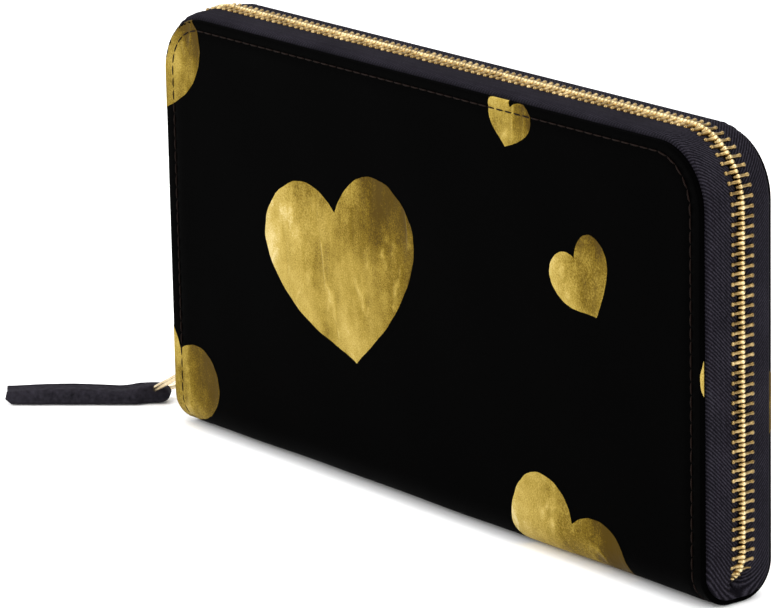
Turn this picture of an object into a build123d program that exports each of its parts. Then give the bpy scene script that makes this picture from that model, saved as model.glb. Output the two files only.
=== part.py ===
from build123d import *
from math import cos, degrees, atan2, hypot, pi, radians, sin, sqrt
import os

# Long zip-around wallet standing on its folded spine. Millimetres, +Z up.
# X runs along the length, the front cover faces -Y, the origin is under the middle of the spine.

# ---- covers and spine ----
LENGTH = 195.0            # leather, end to end
HEIGHT = 103.0            # floor to the covers' top edge
DEPTH = 20.5              # over both covers
LEATHER = 1.2
BOARD = 0.6               # stiffener inside each cover
LINING = 0.4
CORNER_R = 14.0           # the covers' two top corners
FOLD_R = 8.2              # outer radius of the fold between cover and spine
SPINE_HALF = 3.6          # half width of the flat strip the wallet stands on
FOLD_GAP = 0.65           # between the flat strip and the start of each fold
LINING_INSET = 0.8
LINING_FOLD_HALF = 90.0   # the lining's curved foot stops short of the zip ends

# ---- main zip ----
TAPE = 0.6
RIDGE = 1.45              # how far the chain's middle stands out from the covers' edge
FLANGE = 6.0              # tape sewn in between leather and board
FLANGE_LOW = 12.0
TRIM_GAP = 0.25           # between the zip's ends and the fold they tuck into
SHOULDER_Y = 5.0          # the tape is flat from the chain out to here, then turns in
CURL_R_RIGHT = 7.5        # the zip's ends turn in under the wallet
CURL_R_LEFT = 4.0
CURL_END_RIGHT = 4.5      # height of the chain's middle where the curl ends
CURL_END_LEFT = 3.2
CURL_TURN = 78.0
TOOTH_PITCH = 2.2
TOOTH_WIDTH = 0.86        # along the chain
TOOTH_REACH = 0.4         # past the middle of the chain
TOOTH_ROOT = 2.9          # where the tape's edge grips the tooth
TOOTH_THICK = 2.6
STOP_LOW = 4.9
STOP_HIGH = 6.1
STOP_INNER = 1.2

# ---- coin pocket ----
COIN_HALF_L = 85.5
COIN_Y = 2.8
COIN_WALL = 0.6
COIN_TOP = 86.0
COIN_SEAM = 1.5
COIN_TAPE = 0.5
COIN_TAPE_EDGE = 1.75
COIN_PITCH = 2.0
COIN_TOOTH = 0.8
COIN_REACH = 0.3
COIN_THICK = 1.6
COIN_SLIDER_X = -78.0     # middle of the coin slider, zip closed
COIN_SLIDER_HALF = 5.0
COIN_CHAIN_START = -72.6
COIN_CHAIN_END = 81.5
COIN_PLATE = 0.8
COIN_PLAY = 0.1           # between the teeth and each plate
COIN_EYE = 2.0            # height of the eye in the coin slider's bridge
COIN_ARCH = 0.7
COIN_BRIDGE = 4.4         # length of the bridge
COIN_PULL = 9.0
COIN_PULL_WIDTH = 4.4
COIN_HOLE = 3.3           # window in the pull, from its pin
COIN_HOLE_WIDTH = 2.6
COIN_PIN_R = 0.5

# ---- card pockets ----
CARD_PLY = 0.25
CARD_COUNT = 4            # stepped pockets in each of two columns
CARD_WIDTH = 88.5
CARD_GAP = 1.0
CARD_LOW = 12.0
CARD_STEP = 9.0
CARD_HIGHEST = 81.0

# ---- side gussets ----
GUSSET = 0.25
GUSSET_LOW = 12.0
GUSSET_HIGH = 85.0
GUSSET_COVER_X = 95.5
GUSSET_COVER_Y = 7.75
GUSSET_FOLD_Y = 4.5
GUSSET_COIN_Y = 3.05
GUSSET_NIP = 1.5          # depth of the glued tip of the pleat
GUSSET_FOLD_HIGH = 70.0
GUSSET_FOLD_LOW = 82.0

# ---- main slider, pull ring and pull tab ----
SLIDER_HALF = 5.5
SLIDER_Z = 12.6           # middle of the slider, zip closed
SLIDER_WIDE = 4.5         # half width at the mouth that parts the teeth
SLIDER_NARROW = 3.8
PLATE = 1.0
PLATE_GAP = 1.5           # from the chain's middle to each plate
LIP_Y = 3.3
TAPE_SLOT = 0.5
DIAMOND_HALF = 0.8
BRIDGE_HALF_Y = 1.4
BRIDGE_HALF_Z = 4.3
BRIDGE_WALL = 0.9
WIRE_R = 0.65
RING_HALF = 4.2           # middle of the wire, from the ring's long axis
RING_NEAR_R = 1.6
PIVOT_X = -103.0          # the ring's straight end turns here, low in the bridge's eye
PIVOT_Z = 10.1
TIP_X = -117.4            # far end of the ring's wire
TIP_Z = 2.3
LOOP_BORE = 1.35          # the tab's leather loop round the wire
LOOP_R = 2.2
LOOP_LENGTH = 4.4
TAB_LENGTH = 37.5         # from the loop's middle
TAB_WIDTH = 7.6
TAB_THICK = 3.4
TAB_TURN = 48.0           # the tab lies this many degrees off the wallet's long axis
TAB_SLANT = 1.6
TAB_SLOPE = 2.0           # length of the tab's slanted end
TAB_SHOULDER = 2.5        # where the tab reaches its full width
TAB_NOSE = 1.0            # how far the strap runs back into its loop
RING_PLAY = 0.3           # between the wire and the bridge
CHAMFER = 1.0             # cut off each corner of a slider plate
LIP_LOW = 2.5             # lips start this far up the slider
LIP_INSET = 0.2
POST_LOW = 0.3            # the diamond post, from the slider's mouth
POST_WIDEST = 1.4
POST_TOP = 3.6
STOP_ROUND = 0.4
STOP_EXTRA = 1.0          # the bottom stop is this much thicker than the tape
COIN_PLATE_ROUND = 0.8
COIN_BODY_PLAY = 1.0      # the lower plate is this much narrower than the pocket
COIN_POST_IN = 1.5        # the coin slider's post, from its end
COIN_POST_LONG = 1.6
COIN_POST_WIDE = 1.0
COIN_BRIDGE_HALF = 1.0

# ---- derived places ----
HALF_L = LENGTH / 2
HALF_D = DEPTH / 2
FOLD_Y = HALF_D - FOLD_R
EDGE_X = HALF_L + RIDGE
EDGE_Z = HEIGHT + RIDGE
BOARD_Y = HALF_D - LEATHER
LINING_Y = BOARD_Y - BOARD
CARD_Y = LINING_Y - LINING
COIN_LOW = LEATHER + LINING
COIN_IN = COIN_Y - COIN_WALL

os.makedirs("parts", exist_ok=True)


def save(solid, name):
    """Label one finished sub-part and write it."""
    solid.label = name
    export_step(solid, "parts/" + name + ".step")


def save_pair(solid, name):
    """Write a front piece and its mirror image at the back."""
    back = mirror(solid, about=Plane.XZ)
    save(solid, "front_" + name)
    save(back, "back_" + name)


def panel(inset, low, near, far):
    """A cover-shaped sheet from y = -near to y = -far, cut square at z = low."""
    side = HALF_L - inset
    top = HEIGHT - inset
    radius = CORNER_R - inset
    with BuildPart() as sheet:
        with BuildSketch(Plane.XZ.offset(far)):
            with BuildLine():
                Line((-side, low), (side, low))
                Line((side, low), (side, top - radius))
                CenterArc((side - radius, top - radius), radius, 0, 90)
                Line((side - radius, top), (radius - side, top))
                CenterArc((radius - side, top - radius), radius, 90, 90)
                Line((-side, top - radius), (-side, low))
            make_face()
        extrude(amount=near - far)
    return sheet.part


def fold(depth_in, thick, half_length, inner_y):
    """The rounded foot of a cover: a strip along X, curling in to y = -inner_y."""
    outer = FOLD_R - depth_in
    inner = outer - thick
    reach = inner_y - FOLD_Y
    foot_out = FOLD_R - sqrt(outer ** 2 - reach ** 2)
    foot_in = FOLD_R - sqrt(inner ** 2 - reach ** 2)
    with BuildPart() as strip:
        with BuildSketch(Plane.YZ.offset(-half_length)):
            with BuildLine():
                turn_out = degrees(atan2(foot_out - FOLD_R, -reach))
                turn_in = degrees(atan2(foot_in - FOLD_R, -reach))
                CenterArc((-FOLD_Y, FOLD_R), outer, 180, turn_out + 180)
                Line((-inner_y, foot_out), (-inner_y, foot_in))
                CenterArc((-FOLD_Y, FOLD_R), inner, 180, turn_in + 180)
                Line((-FOLD_Y - inner, FOLD_R), (-FOLD_Y - outer, FOLD_R))
            make_face()
        extrude(amount=2 * half_length)
    return strip.part


# ---- the path of the chain: left end, up, over the top, down, right end ----
def zip_runs():
    """Straight runs and bends of the chain's middle, in the XZ plane."""
    radius = CORNER_R + RIDGE
    high = EDGE_Z - radius
    side = EDGE_X - radius
    low_left = CURL_END_LEFT + CURL_R_LEFT
    low_right = CURL_END_RIGHT + CURL_R_RIGHT
    return [
        ("arc", (CURL_R_LEFT - EDGE_X, low_left), CURL_R_LEFT, 180 + CURL_TURN, 180),
        ("line", (-EDGE_X, low_left), (-EDGE_X, high)),
        ("arc", (-side, high), radius, 180, 90),
        ("line", (-side, EDGE_Z), (side, EDGE_Z)),
        ("arc", (side, high), radius, 90, 0),
        ("line", (EDGE_X, high), (EDGE_X, low_right)),
        ("arc", (EDGE_X - CURL_R_RIGHT, low_right), CURL_R_RIGHT, 0, -CURL_TURN),
    ]


def run_length(run):
    """Length of one run."""
    if run[0] == "line":
        return hypot(run[2][0] - run[1][0], run[2][1] - run[1][1])
    return radians(abs(run[4] - run[3])) * run[2]


def zip_point(run, along):
    """The place on a run and the direction its chain faces, in degrees from +X."""
    share = along / run_length(run)
    if run[0] == "arc":
        turn = run[3] + (run[4] - run[3]) * share
        x = run[1][0] + run[2] * cos(radians(turn))
        z = run[1][1] + run[2] * sin(radians(turn))
        return x, z, turn
    x = run[1][0] + share * (run[2][0] - run[1][0])
    z = run[1][1] + share * (run[2][1] - run[1][1])
    if run[1][1] == run[2][1]:
        return x, z, 90
    return x, z, 180 if x < 0 else 0


def zip_path():
    """The chain's path as one planar wire."""
    with BuildLine(Plane.XZ) as path:
        for run in zip_runs():
            if run[0] == "line":
                Line(run[1], run[2])
            else:
                CenterArc(run[1], run[2], run[3], run[4] - run[3])
    return path.wire()


def tooth_row(shift, kept):
    """Teeth of the front row; kept(run number, height) says which places have one."""
    teeth = []
    start = 0.0
    reach = TOOTH_ROOT + TOOTH_REACH
    middle = (TOOTH_REACH - TOOTH_ROOT) / 2
    for number, run in enumerate(zip_runs()):
        length = run_length(run)
        step = int((start - shift) / TOOTH_PITCH) + 1
        while step * TOOTH_PITCH + shift < start + length:
            x, z, turn = zip_point(run, step * TOOTH_PITCH + shift - start)
            if kept(number, z):
                spot = Location((x, middle, z), (0, -turn, 0))
                teeth.append(spot * Box(TOOTH_THICK, reach, TOOTH_WIDTH))
            step += 1
        start += length
    return teeth


def left_teeth(number, z):
    """The run that the slider travels over."""
    return number == 1 and z > SLIDER_Z + SLIDER_HALF + TOOTH_WIDTH


def main_teeth(number, z):
    """Everything from the top left corner round to the right end."""
    return number >= 2 and z > CURL_END_RIGHT + TOOTH_THICK / 2


def save_teeth(name, kept):
    """Both rows; the back row sits half a pitch along, in the front row's gaps."""
    front = Compound(children=tooth_row(0.0, kept))
    back = Compound(children=tooth_row(TOOTH_PITCH / 2, kept))
    save(front, "front_" + name)
    save(mirror(back, about=Plane.XZ), "back_" + name)


# ---- spine ----
with BuildPart() as spine_leather:
    with BuildSketch(Plane.YZ.offset(-HALF_L)):
        with Locations((0, LEATHER / 2)):
            Rectangle(2 * SPINE_HALF, LEATHER)
    extrude(amount=LENGTH)
save(spine_leather.part, "spine_leather")

with BuildPart() as spine_lining:
    with BuildSketch(Plane.YZ.offset(-LINING_FOLD_HALF)):
        with Locations((0, LEATHER + LINING / 2)):
            Rectangle(2 * SPINE_HALF - LINING, LINING)
    extrude(amount=2 * LINING_FOLD_HALF)
save(spine_lining.part, "spine_lining")

# ---- covers ----
with BuildPart() as cover_leather:
    add(panel(0, FOLD_R, HALF_D, BOARD_Y))
    add(fold(0, LEATHER, HALF_L, SPINE_HALF + FOLD_GAP))
save_pair(cover_leather.part, "leather")

with BuildPart() as cover_board:
    add(panel(FLANGE + LINING, FLANGE_LOW, BOARD_Y, LINING_Y))
save_pair(cover_board.part, "cover_board")

with BuildPart() as cover_lining:
    add(panel(LINING_INSET, FOLD_R, LINING_Y, CARD_Y))
    add(fold(LEATHER + BOARD, LINING, LINING_FOLD_HALF, SPINE_HALF + FOLD_GAP + LINING))
save_pair(cover_lining.part, "lining")

# ---- card pockets: each ply is one pocket front across both columns ----
for number in range(CARD_COUNT):
    ply_y = CARD_Y - number * CARD_PLY
    ply_height = CARD_HIGHEST - number * CARD_STEP - CARD_LOW
    with BuildPart() as card_pocket:
        with BuildSketch(Plane.XZ.offset(ply_y - CARD_PLY)):
            with Locations((0, CARD_LOW + ply_height / 2)):
                with GridLocations(CARD_WIDTH + CARD_GAP, 1, 2, 1):
                    Rectangle(CARD_WIDTH, ply_height)
        extrude(amount=CARD_PLY)
    save_pair(card_pocket.part, "card_pocket_" + str(number + 1))

# ---- main zip tapes ----
with BuildPart() as zip_space:
    with BuildSketch(Plane.YZ.offset(-HALF_L - FOLD_R)):
        with BuildLine():
            inner = FOLD_R - LEATHER - BOARD - LINING - TRIM_GAP
            wall = FOLD_Y + inner
            high = HEIGHT + 2 * FOLD_R
            Line((0, high), (-BOARD_Y, high))
            Line((-BOARD_Y, high), (-BOARD_Y, FLANGE_LOW))
            Line((-BOARD_Y, FLANGE_LOW), (-wall, FLANGE_LOW))
            Line((-wall, FLANGE_LOW), (-wall, FOLD_R))
            CenterArc((-FOLD_Y, FOLD_R), inner, 180, 90)
            Line((-FOLD_Y, FOLD_R - inner), (0, FOLD_R - inner))
            Line((0, FOLD_R - inner), (0, high))
        make_face()
    extrude(amount=2 * (HALF_L + FOLD_R))

path = zip_path()
start_x, start_z, start_turn = zip_point(zip_runs()[0], 0)
outward = Vector(cos(radians(start_turn)), 0, sin(radians(start_turn)))
section = Plane(origin=(start_x, 0, start_z), x_dir=outward, z_dir=path % 0)
side = 1 if section.y_dir.Y > 0 else -1
with BuildPart() as zip_tape:
    with BuildSketch(section):
        with BuildLine():
            Polyline(
                (TAPE / 2, -side * TOOTH_ROOT),
                (TAPE / 2, -side * SHOULDER_Y),
                (TAPE / 2 - RIDGE, -side * BOARD_Y),
                (-TAPE / 2 - RIDGE, -side * BOARD_Y),
                (-TAPE / 2 - RIDGE, -side * LINING_Y),
                (-TAPE / 2, -side * SHOULDER_Y),
                (-TAPE / 2, -side * TOOTH_ROOT),
                close=True,
            )
        make_face()
    sweep(path=path)
    add(zip_space.part, mode=Mode.INTERSECT)
    add(panel(0, FLANGE_LOW, BOARD_Y, LINING_Y))
    add(panel(FLANGE, FLANGE_LOW - 1, BOARD_Y, LINING_Y), mode=Mode.SUBTRACT)
save_pair(zip_tape.part, "zip_tape")

# ---- main zip teeth and stops ----
save_teeth("zip_teeth", main_teeth)
save_teeth("zip_teeth_left", left_teeth)

with BuildPart() as top_stop:
    with BuildSketch(Plane.XY.offset(STOP_LOW)):
        with Locations((-EDGE_X + TAPE, -(STOP_INNER + TOOTH_ROOT) / 2)):
            RectangleRounded(TOOTH_THICK, TOOTH_ROOT - STOP_INNER, STOP_ROUND)
    extrude(amount=STOP_HIGH - STOP_LOW)
save_pair(top_stop.part, "zip_top_stop")

end_x, end_z, end_turn = zip_point(zip_runs()[6], run_length(zip_runs()[6]) - TOOTH_PITCH / 2)
with BuildPart() as bottom_stop:
    with BuildSketch(Plane.XZ.offset(-TOOTH_ROOT + TOOTH_REACH)):
        with Locations((end_x, end_z)):
            Rectangle(TOOTH_PITCH, TAPE + STOP_EXTRA, rotation=end_turn + 90)
    extrude(amount=2 * TOOTH_ROOT - TOOTH_REACH)
save(bottom_stop.part, "zip_bottom_stop")

# ---- main slider: two plates joined by the diamond, lips that leave a slot for the tape ----
low = SLIDER_Z - SLIDER_HALF
high = SLIDER_Z + SLIDER_HALF
with BuildPart() as slider_body:
    for plate_x in (-PLATE_GAP - PLATE, PLATE_GAP):
        with BuildSketch(Plane.YZ.offset(-EDGE_X + plate_x)):
            with BuildLine():
                Polyline(
                    (-SLIDER_WIDE, low + CHAMFER),
                    (-SLIDER_WIDE + CHAMFER, low),
                    (SLIDER_WIDE - CHAMFER, low),
                    (SLIDER_WIDE, low + CHAMFER),
                    (SLIDER_NARROW, high - CHAMFER),
                    (SLIDER_NARROW - CHAMFER, high),
                    (CHAMFER - SLIDER_NARROW, high),
                    (-SLIDER_NARROW, high - CHAMFER),
                    close=True,
                )
            make_face()
        extrude(amount=PLATE)
    for lip_x in (-PLATE_GAP, TAPE_SLOT):
        with BuildSketch(Plane.YZ.offset(-EDGE_X + lip_x)):
            for hand in (-1, 1):
                with BuildLine():
                    Polyline(
                        (hand * LIP_Y, low + LIP_LOW),
                        (hand * (SLIDER_WIDE - LIP_INSET), low + LIP_LOW),
                        (hand * SLIDER_NARROW, high - CHAMFER),
                        (hand * LIP_Y, high - CHAMFER),
                        close=True,
                    )
                make_face()
        extrude(amount=PLATE_GAP - TAPE_SLOT)
    with BuildSketch(Plane.YZ.offset(-EDGE_X - PLATE_GAP)):
        with BuildLine():
            Polyline(
                (0, low + POST_LOW),
                (DIAMOND_HALF, low + POST_WIDEST),
                (0, low + POST_TOP),
                (-DIAMOND_HALF, low + POST_WIDEST),
                close=True,
            )
        make_face()
    extrude(amount=2 * PLATE_GAP)
save(slider_body.part, "slider_body")

plate_face = -EDGE_X - PLATE_GAP - PLATE
bridge_top = PIVOT_X - WIRE_R - RING_PLAY
with BuildPart() as slider_bridge:
    with BuildSketch(Plane.XZ.offset(-BRIDGE_HALF_Y)):
        with Locations(((plate_face + bridge_top - BRIDGE_WALL) / 2, SLIDER_Z)):
            Rectangle(plate_face - bridge_top + BRIDGE_WALL, 2 * BRIDGE_HALF_Z)
        with Locations(((plate_face + bridge_top) / 2, SLIDER_Z)):
            Rectangle(plate_face - bridge_top, 2 * (BRIDGE_HALF_Z - BRIDGE_WALL), mode=Mode.SUBTRACT)
    extrude(amount=2 * BRIDGE_HALF_Y)
    outer_edges = slider_bridge.edges().filter_by(Axis.Y).group_by(Axis.X)[0]
    fillet(outer_edges, BRIDGE_WALL)
save(slider_bridge.part, "slider_bridge")

# ---- pull ring: a wire with one straight end and one round end ----
ring_length = hypot(TIP_X - PIVOT_X, TIP_Z - PIVOT_Z)
ring_dir = Vector(TIP_X - PIVOT_X, 0, TIP_Z - PIVOT_Z).normalized()
ring_plane = Plane(origin=(PIVOT_X, 0, PIVOT_Z), x_dir=ring_dir, z_dir=ring_dir.cross(Vector(0, 1, 0)))
limb_end = ring_length - RING_HALF
with BuildPart() as pull_ring:
    with BuildLine(ring_plane) as wire_path:
        straight = RING_HALF - RING_NEAR_R
        Line((0, 0), (0, straight))
        CenterArc((RING_NEAR_R, straight), RING_NEAR_R, 180, -90)
        Line((RING_NEAR_R, RING_HALF), (limb_end, RING_HALF))
        CenterArc((limb_end, 0), RING_HALF, 90, -180)
        Line((limb_end, -RING_HALF), (RING_NEAR_R, -RING_HALF))
        CenterArc((RING_NEAR_R, -straight), RING_NEAR_R, 270, -90)
        Line((0, -straight), (0, 0))
    with BuildSketch(Plane.XZ.shift_origin((PIVOT_X, 0, PIVOT_Z))):
        Circle(WIRE_R)
    sweep(path=wire_path.wire())
save(pull_ring.part, "pull_ring")

# ---- pull tab: a leather strap whose loop rides on the ring's round end ----
tab_dir = Vector(-cos(radians(TAB_TURN)), -sin(radians(TAB_TURN)), 0)
round_dir = cos(radians(TAB_TURN)) * ring_dir - sin(radians(TAB_TURN)) * Vector(0, 1, 0)
grip = Vector(PIVOT_X, 0, PIVOT_Z) + limb_end * ring_dir + RING_HALF * round_dir
grip_axis = -sin(radians(TAB_TURN)) * ring_dir - cos(radians(TAB_TURN)) * Vector(0, 1, 0)
strap_plane = Plane(origin=(grip.X, grip.Y, 0), x_dir=tab_dir, z_dir=(0, 0, 1))
loop_plane = Plane(origin=grip - grip_axis * (LOOP_LENGTH / 2), z_dir=grip_axis)
with BuildPart() as pull_tab:
    with BuildSketch(strap_plane):
        with BuildLine():
            half = TAB_WIDTH / 2
            far = TAB_LENGTH - TAB_SLOPE
            Line((TAB_SHOULDER, -half), (far, -half))
            Line((far, -half), (TAB_LENGTH, -half + TAB_SLANT))
            Line((TAB_LENGTH, -half + TAB_SLANT), (far, half))
            Line((far, half), (TAB_SHOULDER, half))
            Line((TAB_SHOULDER, half), (-TAB_NOSE, LOOP_LENGTH / 2))
            Line((-TAB_NOSE, LOOP_LENGTH / 2), (-TAB_NOSE, -LOOP_LENGTH / 2))
            Line((-TAB_NOSE, -LOOP_LENGTH / 2), (TAB_SHOULDER, -half))
        make_face()
    extrude(amount=TAB_THICK)
    with BuildSketch(loop_plane):
        Circle(LOOP_R)
    extrude(amount=LOOP_LENGTH)
    with BuildSketch(loop_plane.offset(-LOOP_LENGTH / 2)):
        Circle(LOOP_BORE)
    extrude(amount=2 * LOOP_LENGTH, mode=Mode.SUBTRACT)
save(pull_tab.part, "pull_tab")

# ---- coin pocket: two shallow trays sewn rim to rim ----
with BuildPart() as coin_half:
    with BuildSketch(Plane.XZ):
        with Locations((0, (COIN_LOW + COIN_TOP) / 2)):
            Rectangle(2 * COIN_HALF_L, COIN_TOP - COIN_LOW)
    extrude(amount=COIN_Y)
    with BuildSketch(Plane.XZ):
        with Locations((0, (COIN_LOW + COIN_SEAM + COIN_TOP) / 2)):
            Rectangle(2 * (COIN_HALF_L - COIN_SEAM), COIN_TOP - COIN_LOW - COIN_SEAM)
    extrude(amount=COIN_IN, mode=Mode.SUBTRACT)
save(coin_half.part, "coin_pocket_front")
save(mirror(coin_half.part, about=Plane.XZ), "coin_pocket_back")

with BuildPart() as coin_tape:
    with BuildSketch(Plane.XY.offset(COIN_TOP)):
        with Locations((0, -(COIN_Y + COIN_TAPE_EDGE) / 2)):
            Rectangle(2 * COIN_HALF_L, COIN_Y - COIN_TAPE_EDGE)
    extrude(amount=COIN_TAPE)
save(coin_tape.part, "coin_zip_tape_front")
save(mirror(coin_tape.part, about=Plane.XZ), "coin_zip_tape_back")


def coin_row(shift):
    """The front row of the coin zip's teeth."""
    teeth = []
    x = COIN_CHAIN_START + shift
    middle = (COIN_REACH - COIN_TAPE_EDGE) / 2
    while x < COIN_CHAIN_END:
        spot = Location((x, middle, COIN_TOP + COIN_TAPE / 2))
        teeth.append(spot * Box(COIN_TOOTH, COIN_TAPE_EDGE + COIN_REACH, COIN_THICK))
        x += COIN_PITCH
    return teeth


save(Compound(children=coin_row(0.0)), "coin_zip_teeth_front")
coin_back_row = Compound(children=coin_row(COIN_PITCH / 2))
save(mirror(coin_back_row, about=Plane.XZ), "coin_zip_teeth_back")

with BuildPart() as coin_stop:
    with BuildSketch(Plane.XY.offset(COIN_TOP)):
        with Locations((COIN_CHAIN_END + COIN_PITCH, 0)):
            RectangleRounded(COIN_PITCH, 2 * COIN_TAPE_EDGE, STOP_ROUND)
    extrude(amount=COIN_THICK)
save(coin_stop.part, "coin_zip_bottom_stop")

# ---- coin slider ----
coin_floor = COIN_TOP + COIN_TAPE / 2 - COIN_THICK / 2 - COIN_PLAY
coin_ceiling = COIN_TOP + COIN_TAPE / 2 + COIN_THICK / 2 + COIN_PLAY
with BuildPart() as coin_slider:
    with BuildSketch(Plane.XY.offset(coin_ceiling)):
        with Locations((COIN_SLIDER_X, 0)):
            RectangleRounded(2 * COIN_SLIDER_HALF, 2 * COIN_Y - COIN_WALL, COIN_PLATE_ROUND)
    extrude(amount=COIN_PLATE)
    with BuildSketch(Plane.XY.offset(coin_floor - COIN_PLATE)):
        with Locations((COIN_SLIDER_X, 0)):
            RectangleRounded(2 * COIN_SLIDER_HALF, 2 * COIN_IN - COIN_BODY_PLAY, COIN_PLATE_ROUND)
    extrude(amount=COIN_PLATE)
    with BuildSketch(Plane.XY.offset(coin_floor)):
        with Locations((COIN_SLIDER_X - COIN_SLIDER_HALF + COIN_POST_IN, 0)):
            RectangleRounded(COIN_POST_LONG, COIN_POST_WIDE, STOP_ROUND)
    extrude(amount=coin_ceiling - coin_floor)
save(coin_slider.part, "coin_slider_body")

coin_plate_top = coin_ceiling + COIN_PLATE
coin_pivot_z = coin_plate_top + COIN_EYE / 2 - COIN_PLAY
with BuildPart() as coin_bridge:
    with BuildSketch(Plane.XZ.offset(-COIN_BRIDGE_HALF)):
        with Locations((COIN_SLIDER_X, coin_plate_top + (COIN_EYE + COIN_ARCH) / 2)):
            Rectangle(COIN_BRIDGE, COIN_EYE + COIN_ARCH)
        with Locations((COIN_SLIDER_X, coin_plate_top + COIN_EYE / 2)):
            Rectangle(COIN_BRIDGE - 2 * COIN_ARCH, COIN_EYE, mode=Mode.SUBTRACT)
    extrude(amount=2 * COIN_BRIDGE_HALF)
save(coin_bridge.part, "coin_slider_bridge")

with BuildPart() as coin_pull:
    with BuildSketch(Plane.XY.offset(coin_pivot_z - COIN_PIN_R)):
        with Locations((COIN_SLIDER_X + COIN_PULL / 2, 0)):
            Rectangle(COIN_PULL, COIN_PULL_WIDTH)
        with Locations((COIN_SLIDER_X + COIN_HOLE / 2, 0)):
            Rectangle(COIN_HOLE, COIN_HOLE_WIDTH, mode=Mode.SUBTRACT)
    extrude(amount=2 * COIN_PIN_R)
    fillet(coin_pull.edges().filter_by(Axis.Z).sort_by(Axis.X)[-2:], COIN_PULL_WIDTH / 4)
    with BuildSketch(Plane.XZ.offset(-COIN_PULL_WIDTH / 2)):
        with Locations((COIN_SLIDER_X, coin_pivot_z)):
            Circle(COIN_PIN_R)
    extrude(amount=COIN_PULL_WIDTH)
save(coin_pull.part, "coin_pull")

# ---- gussets: one pleat at each end of each compartment ----
for hand, name in ((-1, "gusset_left"), (1, "gusset_right")):
    with BuildPart() as gusset:
        for height, fold_x in ((GUSSET_LOW, GUSSET_FOLD_LOW), (GUSSET_HIGH, GUSSET_FOLD_HIGH)):
            with BuildSketch(Plane.XY.offset(height)):
                with BuildLine():
                    Polyline(
                        (hand * GUSSET_COVER_X, -GUSSET_COVER_Y - GUSSET),
                        (hand * fold_x, -GUSSET_FOLD_Y),
                        (hand * (COIN_HALF_L + GUSSET), -GUSSET_COIN_Y),
                        (hand * (COIN_HALF_L + GUSSET), -GUSSET_COIN_Y - GUSSET),
                        (hand * (fold_x + GUSSET_NIP), -GUSSET_FOLD_Y - GUSSET / 2),
                        (hand * GUSSET_COVER_X, -GUSSET_COVER_Y),
                        close=True,
                    )
                make_face()
        loft(ruled=True)
    save_pair(gusset.part, name)
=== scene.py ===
import math
import random
import bmesh
import bpy
from mathutils import Matrix, Vector


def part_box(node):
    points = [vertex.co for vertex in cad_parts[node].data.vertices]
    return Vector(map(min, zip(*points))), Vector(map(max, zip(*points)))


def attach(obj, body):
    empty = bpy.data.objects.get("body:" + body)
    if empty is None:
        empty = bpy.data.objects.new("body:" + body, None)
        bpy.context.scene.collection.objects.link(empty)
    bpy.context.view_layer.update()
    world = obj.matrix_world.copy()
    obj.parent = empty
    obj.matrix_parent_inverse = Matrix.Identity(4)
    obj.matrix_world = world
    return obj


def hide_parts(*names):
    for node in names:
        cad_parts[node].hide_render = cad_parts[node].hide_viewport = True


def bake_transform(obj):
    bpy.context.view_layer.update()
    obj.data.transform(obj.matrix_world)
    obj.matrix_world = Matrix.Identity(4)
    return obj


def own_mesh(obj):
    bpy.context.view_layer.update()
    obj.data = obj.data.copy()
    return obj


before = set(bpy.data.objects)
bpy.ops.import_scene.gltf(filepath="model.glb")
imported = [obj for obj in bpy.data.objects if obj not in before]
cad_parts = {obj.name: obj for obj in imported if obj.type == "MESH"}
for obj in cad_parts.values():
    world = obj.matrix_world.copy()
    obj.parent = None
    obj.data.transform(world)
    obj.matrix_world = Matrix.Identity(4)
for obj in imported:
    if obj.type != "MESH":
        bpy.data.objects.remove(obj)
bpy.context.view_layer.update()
MM = 0.001
random.seed(7)

# ---- the wallet's own measures, in millimetres, read from the frame ----
lo_leather, hi_leather = (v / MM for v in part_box("front_leather"))
HALF_L = hi_leather.x
TOP = hi_leather.z
HALF_D = -lo_leather.y
FOLD_R = 8.2
LEATHER = 1.2
CORNER_R = 14.0
RIM_R = 0.5               # rounding of the leather's cut edge
FOLD_Y = HALF_D - FOLD_R
ARC = FOLD_R * math.pi / 2
S_FACE = FOLD_Y + ARC     # distance along the leather from the spine's middle to the flat cover
S_TOP = S_FACE + TOP - FOLD_R
STITCH_SIDE = 3.3
STITCH_TOP = 2.4
RIDGE = 1.45
EDGE_X = HALF_L + RIDGE
EDGE_Z = TOP + RIDGE


# ---- mesh helpers ----
def mesh_object(name, verts, faces, material, smooth=True, sharp=None):
    """A mesh piece from millimetre points."""
    mesh = bpy.data.meshes.new(name)
    mesh.from_pydata([tuple(Vector(v) * MM) for v in verts], [], faces)
    mesh.materials.append(material)
    mesh.update()
    piece = bpy.data.objects.new(name, mesh)
    bpy.context.collection.objects.link(piece)
    tidy_mesh(mesh)
    for face in mesh.polygons:
        face.use_smooth = smooth
    if sharp is not None:
        mesh.set_sharp_from_angle(angle=math.radians(sharp))
    return piece


def tidy_mesh(mesh):
    """Weld doubles, drop slivers and face every normal outward."""
    work = bmesh.new()
    work.from_mesh(mesh)
    bmesh.ops.remove_doubles(work, verts=work.verts, dist=1e-7)
    bmesh.ops.dissolve_degenerate(work, edges=work.edges, dist=1e-8)
    bmesh.ops.recalc_face_normals(work, faces=work.faces)
    work.to_mesh(mesh)
    work.free()


def put_uv(piece, where):
    """UVs from a function of the vertex position in millimetres."""
    layer = piece.data.uv_layers.new(name="UVMap")
    for loop in piece.data.loops:
        layer.data[loop.index].uv = where(piece.data.vertices[loop.vertex_index].co / MM)


def quads(rows, columns, start=0, close=False):
    """Faces of a grid of rows x columns points, wrapped round when close is true."""
    faces = []
    last = columns if close else columns - 1
    for r in range(rows - 1):
        for c in range(last):
            a = start + r * columns + c
            b = start + r * columns + (c + 1) % columns
            faces.append((a, b, b + columns, a + columns))
    return faces


def caps(faces, base, rings, around):
    """Close both ends of a tube of rings."""
    last = base + (rings - 1) * around
    faces.append(tuple(base + k for k in range(around)))
    faces.append(tuple(last + k for k in reversed(range(around))))


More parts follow.
